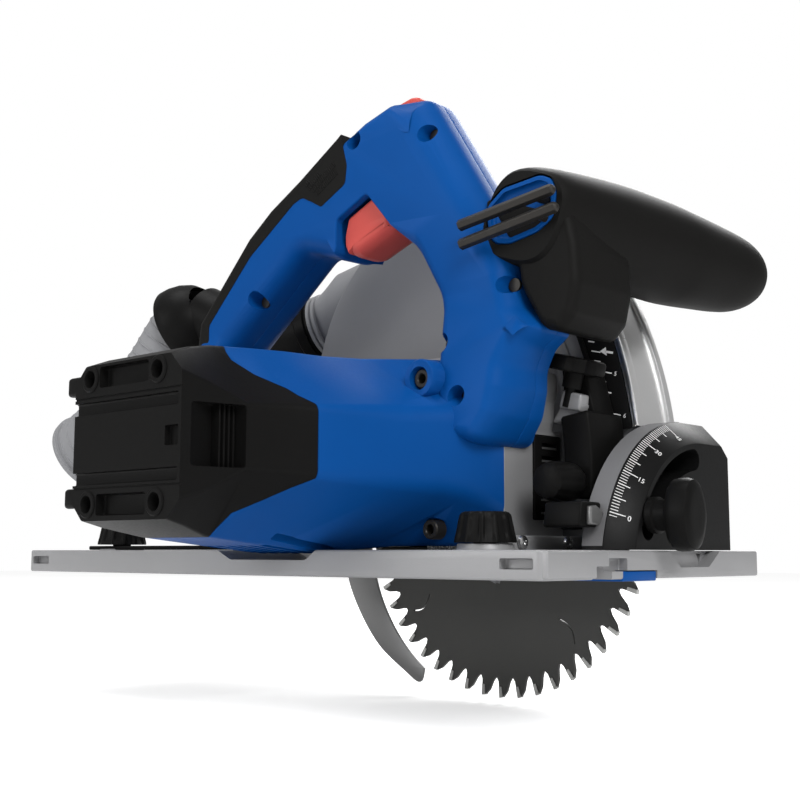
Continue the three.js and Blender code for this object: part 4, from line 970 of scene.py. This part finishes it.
# ---------------------------------------------------------------- motor housing and its end cap
housing_stations = [
    # y, rear, front, low, high, facet low, facet high,
    # bottom rear, bottom front, top rear, top front, corner radius
    (-161, -9, 60, 22, 84, 29, 77, -2, 53, -2, 53, 2.5),
    (-150, -13, 62.5, 19.5, 88, 33, 73, -4, 50, -4, 50, 2.5),
    (-134, -20, 66, 16, 91.5, 41, 66, 0, 42, -2, 42, 3),
    (-114, -21.7, 74.8, 13.8, 92.8, 39.6, 66.4, 1, 42, -3, 43, 4),
    (-95, -23.4, 83.3, 11.7, 93.6, 38.3, 66.7, 1, 43, -3, 45, 7),
    (-75, -25, 92, 9.5, 94, 37, 67, 2, 44, -4, 46, 10),
    (-58, -26.4, 101, 11.4, 94, 35.6, 68, 2, 56, -4, 54, 10),
    (-50, -27, 105.5, 12.6, 94, 34, 69, 0, 66, -4, 62, 10),
    (-42, -27.4, 109, 12.8, 93.6, 31, 70, -4, 84, -6, 74, 10),
    (-33, -27.6, 111, 12.8, 93.4, 27, 70, -10, 100, -8, 82, 10),
]
motor_axis = Vector((23.5, 53.3))
flange_screws = [(87, 82), (87, 19.5), (-19, 86), (-19, 19.5)]
cap_holes = [(1.5, 78.5), (45.5, 78.5), (1.5, 28.5), (45.5, 28.5)]


def housing_body():
    """The faceted motor body, flat below and above, narrowing towards its cap."""
    rings = []
    for y, rear, front, low, high, f_low, f_high, b_rear, b_front, t_rear, t_front, r in housing_stations:
        corners = [
            (b_rear, low), (b_front, low), (front, f_low), (front, f_high), (t_front, high), (t_rear, high),
            (rear, f_high), (rear, f_low),
        ]
        rings.append([(p.x, y, p.y) for p in rounded([(x, z, r) for x, z in corners], 4)])
    return loft(rings)


def cap_zone(gap):
    """Everything on the cap's side of the stepped seam, which a gap moves towards the gear case."""
    seam = [
        (-132, -20), (-132, 19), (-130, 25), (-108, 38.5), (-108, 67.5), (-114, 74), (-128, 84), (-128, 89),
        (-120, 112),
    ]
    return slab([(-190, -20), *[(y + gap, z) for y, z in seam], (-190, 112)], -70, 150, "X")


def rod_y(x, z, r, y0, y1, sides):
    return turned([(0, r), (y1 - y0, r)], (x, y0, z), (0, 1, 0), sides)


def build_motor():
    body = piece("motor_shell", [housing_body()], "blue_plastic", "head", ["motor_housing"])
    cut(body, [cap_zone(0.25), rod_y(*motor_axis, 37.6, -170, -54, 64)])
    cut(body, [turned([(0, 7.6), (1.0, 8.2), (10, 8.2)], (87, -59.5, 82), (0, 1, 0), 40)], "UNION")
    holes = [turned([(0, 5.2), (9, 4.9), (20, 4.8)], (x, -66, z), (0, 1, 0), 32) for x, z in flange_screws]
    louvres = [block(4 + i * 7, 8 + i * 7, -104, -66, 2, 24, 0.8) for i in range(7)]
    cut(body, [*holes, *louvres])
    add_bevel(body, 0.9, 3, 35)
    socket_head = [
        (4.5, 0.01), (4.5, 1.9), (0.4, 2.0), (0, 2.3), (0, 3.6), (0.5, 4.1), (6, 4.2), (6.2, 2.1), (20, 2.1),
    ]
    for i, (x, z) in enumerate(flange_screws[:2]):
        y = -57.5 if z > motor_axis.y else -52.5
        bolt = turned(socket_head, (x, y, z), (0, 1, 0), 36)
        piece(f"flange_bolt_{i + 1}", [bolt], "dark_steel", "head", [f"flange_screw_{i + 1}"])
    build_cap()


def build_cap():
    cap = piece("motor_cap", [housing_body()], "black_plastic", "head", ["motor_end_cap"])
    cut(cap, [cap_zone(0.0)], "INTERSECT")
    cut(cap, [rod_y(*motor_axis, 30, -150, -90, 48)])
    front = -163
    pockets = [block(7.5, 39.5, front, -156.5, z, z + 8.5, 1.2) for z in (74.5, 24)]
    grooves = [block(-16, 58.5, front, -158.8, z, z + 5, 0.9) for z in (64.2, 36.2)]
    notch = block(50.5, 58.5, front, -158.2, 49.2, 56.8, 0.6)
    cut(cap, [*pockets, *grooves, notch])
    cut(
        cap,
        [turned([(0, 4.9), (0.4, 5.4), (9, 5.4)], (x, -161.7, z), (0, 1, 0), 36) for x, z in cap_holes],
        "UNION",
    )
    cut(cap, [turned([(0, 3.9), (1, 3.5), (10, 3.3)], (x, -162.4, z), (0, 1, 0), 32) for x, z in cap_holes])
    near_recess = [(61, -157.5), (80, -157.5), (80, -134.6), (53.5, -134.6), (54.5, -140)]
    far_recess = [(-13, -157), (-40, -157), (-40, -134.6), (-8, -134.6)]
    for recess, low, high in ((near_recess, 41.5, 65.5), (far_recess, 43, 64)):
        cut(cap, [slab(rounded([(x, y, 1.2) for x, y in recess], 3), low, high, "Z", 1.2, 3)])
    cut(cap, [block(-30, 61.6, front - 1, -160.4, z, z + 0.8, 0.1) for z in (70.4, 34.4)])
    add_bevel(cap, 0.7, 2, 30)
    ribs = []
    for i in range(4):
        y = -143.4 + i * 2.3
        ribs.append(block(52.5, 60.5, y, y + 0.9, 41.2, 65.8, 0.3))
        ribs.append(block(-15.5, -9, y, y + 0.9, 42.8, 64.2, 0.3))
    piece("cap_vent_ribs", ribs, "black_plastic", "head")
    clips = []
    for z in (77.5, 31.5):
        corners = [(-157, z - 4.2, 1.6), (-148, z - 3.4, 1.6), (-148, z + 3.4, 1.6), (-157, z + 4.2, 1.6)]
        clips.append(plate([(rounded(corners, 4), (1.4, 1.6), (0.3, 0.3))], -21.5, -9, "X", 3))
        clips.append(turned([(0, 1.5), (1.2, 1.5), (1.6, 1.1)], (-21.2, -152.5, z), (-1, 0, 0), 20))
    piece("cap_clips", clips, "black_plastic", "head")


build_motor()


# ---------------------------------------------------------------- gear case, guard, depth stop
pivot = Vector((-50, 42))
guard_back = (Vector((40, 90)), 99.0)
painted_levels = (19.24, 19.6)


def pivot_arc(r, low, high, steps=36):
    return arc(pivot, r, low, high, steps)


def guard_loop(shrink, bottom):
    """The guard's outline: an arc about the pivot in front, a rounder one behind, and a straight back."""
    front = 192 - shrink
    left = -64 + shrink
    start = math.degrees(math.asin((bottom - pivot.y) / front))
    rear = arc(guard_back[0], guard_back[1] - shrink, 66, 176, 28)
    return [*pivot_arc(front, start, 46, 28), *rear, Vector((left, 60)), Vector((left, bottom))]


def build_gear_case():
    outline = [
        (-27, 13.4, 3), (110.6, 13.4, 2), (111, 62, 2), (112, 66, 4), (113.5, 84, 14), (104, 101, 14),
        (88, 103, 8), (78, 95, 8), (10, 95, 20), (-14, 92, 12), (-30, 78, 10), (-44, 60, 6),
        *pivot_arc(12.5, 100, 250, 10), (-40, 27, 8),
    ]
    shell = plate([(rounded(outline, 6), (0.6, 0.6), (3, 3))], -32.8, 11.6, "Y", 4)
    body = piece("gear_case_shell", [shell], "cast_aluminium", "head", ["gear_case"])
    upper = slab([(84, 62.8), (130, 62.8), (130, 115), (52, 115), (60, 92)], 1.5, 30)
    vent_seat = block(107.2, 116, -12.8, 7.4, 23.9, 60.7, 0.8)
    boss_seat = turned([(0, 15), (3.5, 15)], (pivot.x, 11, pivot.y), (0, 1, 0), 48)
    cut(body, [upper, vent_seat, boss_seat])
    add_bevel(body, 0.8, 3, 30)
    build_gear_case_nose()
    build_vent()
    build_gear_cover()


def build_gear_case_nose():
    """The round end of the casting in front, and the ribs on top of it."""
    profile = [(0, 19.4), (8, 20.2), (33, 20.4), (36, 19.2), (37.6, 16.5), (38.2, 12), (38.3, 0.02)]
    nose = piece(
        "gear_case_nose", [turned(profile, (94, -32.6, 83), (0, 1, 0), 64)], "cast_aluminium", "head",
    )
    cut(nose, [block(106, 125, -19.5, 10, 87.5, 110, 1)])
    ribs = [block(-20 + 16 * i, -17.4 + 16 * i, -30, 9.5, 90, 95.8, 0.6) for i in range(4)]
    piece("gear_case_ribs", ribs, "cast_aluminium", "head")


def build_vent():
    """A louvre of six openings with a bright slat in each."""
    slits, step = 6, 5.6
    plug = block(107, 111.9, -12.6, 7.2, 24.1, 60.5, 0.6)
    vent = piece("gear_case_louvre", [plug], "black_plastic", "head", ["gear_case_vent"])
    openings = [
        block(109.6, 114, -8.6 + 0.3 * i, 4.2, 26.4 + i * step, 29.2 + i * step, 0.3) for i in range(slits)
    ]
    cut(vent, openings)
    section = [(109.4, 26), (111.6, 26.6), (111.6, 27.4), (109.4, 27.4)]
    slats = [slab([(x, z + i * step) for x, z in section], -8.6, 4.2) for i in range(slits)]
    piece("gear_case_louvre_slats", slats, "satin_steel", "head")


def build_gear_cover():
    outline = [
        (-20, 30, 4), (6, 26, 8), (34, 20, 6), *arc(arbor, 19.6, 205, 335, 16), (74, 34, 4), (100, 34, 4),
        (100, 60, 6), (70, 66, 8), (46, 76, 12), (12, 78, 12), (-12, 60, 8),
    ]
    bore = ring_of(arbor, 8.3, 40)
    lid = plate(
        [(rounded(outline), (0.3, 0.3), (1.6, 1.6)), (bore, (0.2, 0.2), (0.5, 0.5))], 12.0, 21.4, "Y", 4,
    )
    neck = [(0, 15), (4.6, 15), (5.4, 14.4), (5.4, 8.3), (0, 8.3)]
    collar = turned(neck, (arbor.x, 20, arbor.y), (0, 1, 0), 48, False)
    piece("gear_case_cover", [lid, collar], "cast_aluminium", "head", ["gear_cover"])


def plunge_loop(half):
    """The curved opening that the spindle travels along, open at the bottom and round at the top."""
    reach = math.hypot(arbor.x - pivot.x, arbor.y - pivot.y)
    rest = math.degrees(math.atan2(arbor.y - pivot.y, arbor.x - pivot.x))
    low, high = rest - 12, rest + 34
    outer = pivot_arc(reach + half, low, high, 20)
    top = arc(polar(pivot, reach, high), half, high + 20, high + 160, 10)
    return [*outer, *top, *pivot_arc(reach - half, high, low, 20)]


def build_guard():
    bottom = 13.0
    outer = guard_loop(0, bottom)
    near_wall = plate(
        [(outer, (1.6, 1.6), (0, 0)), (plunge_loop(17.5), (0.3, 0.3), (0.3, 0.3))], 22, 25, "Y", 3,
    )
    rim = slab([*outer, *guard_loop(2.6, bottom)[::-1]], 24.9, 51.7)
    front = [*arc(bevel_axis, 61, 161, 90, 20), (59, 61), (50, 27), (49, bottom), (-19, bottom)]
    rear = [*arc(bevel_axis, 60, 160, 90, 20), (59, 60), (50, 27), (49, bottom), (-18, bottom)]
    plates = [slab(front, 139.2, 143.6, "X", 0.6, 2), slab(rear, -68.1, -63.5, "X", 0.6, 2)]
    boss = turned([(0, 10.8), (0.8, 12), (11, 13)], (pivot.x, 11.8, pivot.y), (0, 1, 0), 48)
    ribs = []
    for r in (150, 158, 166):
        loop = [*pivot_arc(r, 12, 40, 20), *pivot_arc(r + 1.6, 40, 12, 20)]
        ribs.append(plate([(loop, (0.4, 0.4), (0, 0))], 20.8, 22.1, "Y", 2))
    piece("guard_shell", [near_wall, rim, *plates, boss, *ribs], "grey_guard", "guard", ["blade_guard"])
    build_guard_cover()


def build_guard_cover():
    cover = plate([(guard_loop(0.4, 22.0), (0, 0), (2.2, 2.2))], 52.05, 55.4, "Y", 4)
    lid = piece("guard_outer_cover", [cover], "grey_guard", "guard", ["guard_side_cover"])
    slots = [block(22 + 11 * i, 27 + 11 * i, 50, 60, 118, 150, 2.2) for i in range(6)]
    cut(lid, [*slots, block(138.8, 152, 50, 60, -1, 70, 0.5), block(-72, -63.2, 50, 60, -1, 70, 0.5)])
    rib = [*arc(guard_back[0], 78, 66, 176, 30), *arc(guard_back[0], 75, 176, 66, 30)]
    piece("guard_cover_rib", [slab(rib, 54.8, 57, "Y", 0.8, 2)], "grey_guard", "guard")
    head = [(0, 3.4), (1.4, 3.3), (2, 2.4), (1.2, 1.4), (1.2, 0.01)]
    places = [(-48, 60), (-10, 165), (80, 168), (128, 90), (120, 46)]
    screws = [turned(head, (x, 55.2, z), (0, 1, 0), 24) for x, z in places]
    piece("guard_cover_screws", screws, "dark_steel", "guard")


def build_depth_scale():
    def ribbon(outer, inner):
        low, high = 6.6, 44
        return [*pivot_arc(outer, low, high, 48), *pivot_arc(inner, high, low, 48)]

    stripes = [slab(ribbon(193.7, 192.2), 19.4, 51.6, "Y", 0.1)]
    for y0, y1 in ((19.4, 25.4), (46.6, 51.6)):
        stripes.append(plate([(ribbon(195.1, 192.3), (0.7, 0.5), (0.7, 0.5))], y0, y1, "Y", 3))
    piece("depth_arc_band", stripes, "polished_steel", "guard", ["depth_arc"])
    face = plate([(ribbon(191.7, 176), (0.3, 0.3), (0.1, 0.1))], 19.4, 21.9, "Y", 2)
    rail = plate([(ribbon(178, 176), (0.5, 0.5), (0.1, 0.1))], 17.6, 19.6, "Y", 2)
    scale = piece("depth_scale_strip", [face, rail], "black_metal", "guard", ["depth_scale"])
    marks = []
    along = polar(Vector((0, 0)), 1, -14)
    right, up = (1, 0, -0.25), (0.25, 0, 1)
    for i in range(23):
        start = polar(pivot, 180.2, 9.4 + i * 1.54)
        length = (7.6, 3.2, 4.8, 3.2)[i % 4]
        marks.append(scale_mark(start, start + along * length, 0.27))
        if i % 4 == 0:
            spot = start + along * 9.6
            lettering(
                f"depth_mark_{i}", str(6 - i // 4), 2.6, (spot.x, 19.3, spot.y), right, up, 0.0, "guard",
            )
    arrow = polar(pivot, 184.2, 18)
    marks.append(slab([arrow, arrow + Vector((3.4, -2.3)), arrow + Vector((3.0, 1.5))], *painted_levels))
    marks.append(scale_mark(arrow + Vector((2.5, -0.4)), arrow + Vector((6.6, -1.4)), 0.5))
    second_material(scale, white_paint, marks)


def scale_mark(start, end, half):
    """A painted line on the scale, on the face that looks along -Y."""
    across = Vector((start.y - end.y, end.x - start.x)).normalized() * half
    return slab([start - across, end - across, end + across, start + across], *painted_levels)


def build_depth_stop():
    shoe_loop = [*pivot_arc(174.5, -3, 8.4, 10), *pivot_arc(188.5, 8.4, -3, 10)]
    tower_loop = [
        polar(pivot, 169, 8), polar(pivot, 185, 8), polar(pivot, 184, 16.5), polar(pivot, 173, 16.5),
    ]
    shoe = slab(rounded([(p.x, p.y, 1) for p in shoe_loop], 1), -9.2, 18.4, "Y", 1.4, 3)
    tower = slab(rounded([(p.x, p.y, 1.4) for p in tower_loop], 2), 2.5, 18.6, "Y", 1.2, 3)
    piece("depth_stop_shoe", [shoe, tower], "black_plastic", "depth_stop", ["depth_stop_slider"])
    nut = slab(rounded([(118, 72, 1), (129, 69.5, 1), (130, 77, 1), (120, 80, 1)], 2), -3.5, 15, "Y", 1.2, 3)
    foot = slab(
        rounded([(113, 65.5, 1), (126, 66.6, 1), (130.5, 73, 1), (120, 76, 1)], 2), -2, 17, "Y", 1.2, 3,
    )
    piece("depth_stop_head", [nut, foot], "cast_aluminium", "depth_stop")
    build_fine_knob()
    build_depth_clamp()


def build_fine_knob():
    """A flat knob with four broad lobes, on the leaning screw of the depth stop."""
    axis = Vector((6, 0, 22)).normalized()
    start = Vector((123.4, -2, 78.4)) + axis * 8.6
    side, up = Vector((0, 1, 0)), axis.cross(Vector((0, 1, 0)))
    # distance along the axis, share of the full radius
    profile = [
        (0, 0.86), (0.7, 0.97), (1.6, 1.0), (5.4, 1.0), (6.3, 0.96), (6.8, 0.86), (6.9, 0.5), (6.3, 0.3),
    ]
    rings = []
    for t, scale in profile:
        ring = []
        for a in whole_turn(96):
            r = (11.6 + 2.7 * max(-0.75, min(0.75, math.cos(4 * a) * 1.4))) * scale
            ring.append(start + axis * t + side * (r * math.cos(a)) + up * (r * math.sin(a)))
        rings.append(ring)
    stem = turned([(0, 4.2), (7, 4.2)], start - axis * 6.6, axis, 32)
    shank = turned([(0, 2.2), (12, 2.2)], start - axis * 15, axis, 20)
    piece(
        "depth_fine_knob", [loft(rings), stem, shank], "black_plastic", "depth_fine_screw",
        ["depth_stop_screw"],
    )


def build_depth_clamp():
    """A barrel-shaped knob with nine shallow dents round its wide part."""
    x, y, z = 131, -31.7, 39
    profile = [
        (0, 0.02), (0, 5.4), (0.9, 7.2), (4, 8.0), (10, 8.6), (16, 8.2),
        (19.5, 6.9), (21, 5.2), (21.2, 4.4), (22.6, 4.4), (22.6, 0.02),
    ]
    rings = []
    for t, r in profile:
        ring = []
        dent = 0.35 if r > 6 else 0
        for a in whole_turn(72):
            reach = r - dent * max(0, math.cos(9 * a))
            ring.append((x + reach * math.cos(a), y + t, z + reach * math.sin(a)))
        rings.append(ring)
    piece("depth_clamp_knob", [loft(rings)], "black_plastic", "depth_lock", ["depth_lock_knob"])


def build_pointer():
    block_loop = rounded([(-38, 20, 1.2), (-25.4, 20, 1), (-21.6, 30, 1.2), (-36, 30.2, 1.5)], 3)
    body = slab(block_loop, 133.4, 151, "X", 1, 3)
    arm = block(133.6, 138.8, -26, -14, 19.4, 27.5, 0.8)
    piece("bevel_pointer_mount", [body, arm], "black_plastic", "guard", ["bevel_pointer_block"])
    outline = rounded(
        [(-33.5, 21, 0.6), (-27, 20.8, 0.4), (-23.8, 26, 0.3), (-29, 28.6, 0.4), (-33, 28.2, 0.6)], 2,
    )
    tip = plate([(outline, (0.2, 0.2), (0.8, 0.6))], 151.2, 153.4, "X", 2)
    piece("bevel_pointer_arrow", [tip], "satin_steel", "guard", ["bevel_pointer_tip"])


def build_clamp(label, x, sign, tall):
    """A flattened knob on a stem; the clamp bolt's end shows inside it."""
    y, z = -4.3, 25
    # distance from the quadrant outwards, share of the full size
    profile = [
        (-0.6, 0.6), (0, 0.86), (1.4, 0.97), (3.4, 1.0), (7, 1.0), (9.4, 0.95), (10.4, 0.82), (10.7, 0.6),
        (10.6, 0.3),
    ]
    rings = []
    for t, scale in profile:
        ring = []
        for a in whole_turn(72):
            wide = 9.2 * scale * (1 + 0.02 * math.cos(6 * a))
            ring.append((x + sign * t, y + wide * math.cos(a), z + tall * scale * math.sin(a)))
        rings.append(ring)
    stem = turned(
        [(0, 7.0), (0.6, 7.4), (3.2, 7.4), (3.8, 6.4), (9.6, 6.2)], (x - sign * 9.6, y, z), (sign, 0, 0),
        40,
    )
    piece(
        f"{label}_bevel_clamp", [loft(rings), stem], "black_plastic", f"{label}_bevel_lock",
        [f"{label}_bevel_knob"],
    )


build_gear_case()
build_guard()
build_depth_scale()
build_depth_stop()
build_pointer()
build_clamp("front", 173, 1, 14.5)
build_clamp("rear", -91, -1, 13)


# ---------------------------------------------------------------- dust port
outlet_direction = (-0.936, -0.231, -0.266)
duct_path = [
    (-64, 34.7, 134.8), (-70, 33.2, 133.1), (-80, 31, 131), (-98, 27, 131), (-122, 20, 138),
    (-146, 14.5, 149.5),
]
# x, y, z, radius
adapter_path = [
    (-154, 14, 151, 18.4), (-166, 11, 140, 19), (-180, 8, 119, 20.6), (-197, 6.5, 101, 22.6),
    (-218, 5, 85, 25), (-241, 4, 70, 27.6),
]


def pipe_wall(path, radii, wall, sides=40):
    """An open-ended round pipe with a wall, along a path."""
    outer = tube(path, radii, sides, False)
    inner = tube(path, [r - wall for r in radii], sides, False)
    rows = len(path)
    base = len(outer[0])
    faces = list(outer[1]) + [tuple(base + i for i in face[::-1]) for face in inner[1]]
    for row in (0, rows - 1):
        for k in range(sides):
            a, b = row * sides + k, row * sides + (k + 1) % sides
            faces.append((a, b, base + b, base + a))
    return outer[0] + inner[0], faces


def build_dust_port():
    # x, y, z, half width, half height
    oval_path = [(-52, 37.6, 140.5, 15.4, 24.5), (-57, 36.4, 138, 16.6, 20), (-61.5, 35.1, 135.7, 17.2, 17.2)]
    turns = [math.radians(a) for a in range(0, 360, 8)]
    middle, back = guard_back
    root = [(39.6 + 13 * math.cos(t), 145 + 30 * math.sin(t)) for t in turns]
    ovals = [[(middle.x - math.sqrt((back - 2.4) ** 2 - (z - middle.y) ** 2), y, z) for y, z in root]]
    for x, y, z, wide, tall in smooth_path(oval_path, 5):
        ovals.append([(x, y + wide * math.cos(t), z + tall * math.sin(t)) for t in turns])
    chute = loft(ovals)
    nose = pipe_wall([(-64, 34.6, 134.9), (-75, 31.9, 131.8)], [13.9, 13.9], 2.1)
    rings = []
    for i in range(2):
        start = (-60 - 3 * i, 35.4 - 0.75 * i, 136.2 - 0.85 * i)
        rings.append(
            turned([(0, 17.3), (0.5, 18.4), (2.4, 18.4), (2.9, 17.3)], start, outlet_direction, 48, False),
        )
    body = piece("guard_dust_outlet", [chute, nose, *rings], "grey_guard", "guard", ["dust_chute"])
    add_bevel(body, 0.3, 2, 40)
    path = smooth_path(duct_path, 5)
    duct = pipe_wall(path, [17.4 if i > 3 else 17.9 for i in range(len(path))], 2.5)
    cuff_profile = [(0, 17.6), (0.6, 19.2), (6, 19.4), (7, 18.4), (7.4, 17.2)]
    cuff = turned(cuff_profile, (-67, 34, 134), outlet_direction, 48, False)
    funnel = [
        (0, 17.4), (3, 20.5), (9, 23.6), (15, 25.2), (20, 25.6), (21.4, 25), (21.6, 22.6), (12, 20.4),
        (2, 16),
    ]
    collar = turned(funnel, (-143, 15.4, 151), (-0.9, -0.2, -0.4), 56, False)
    piece("dust_swivel_elbow", [duct, collar, cuff], "black_plastic", "dust_port", ["dust_elbow"])
    build_hose_adapter()


def build_hose_adapter():
    """A widening, ribbed adapter with a thick rim at its mouth."""
    points = smooth_path(adapter_path, 8)
    path, radii = [p[:3] for p in points], [p[3] for p in points]
    shells = [pipe_wall(path, radii, 2.4, 56)]
    for i in range(6, len(points) - 2, 2):
        foot, crest = radii[i] - 0.2, radii[i] + 0.45
        along = Vector(path[i + 1]) - Vector(path[i - 1])
        shells.append(turned([(0, foot), (0.3, crest), (0.9, crest), (1.2, foot)], path[i], along, 56, False))
    along = Vector(path[-1]) - Vector(path[-2])
    mouth = Vector(path[-1]) - along.normalized() * 4
    rim = [(0, 27.3), (0.5, 29), (3.6, 29), (4.2, 28.4), (4.2, 25.2), (0, 25.2)]
    shells.append(turned(rim, mouth, along, 64, False))
    piece("dust_hose_port", shells, "grey_guard", "dust_port", ["dust_hose_adapter"])


build_dust_port()
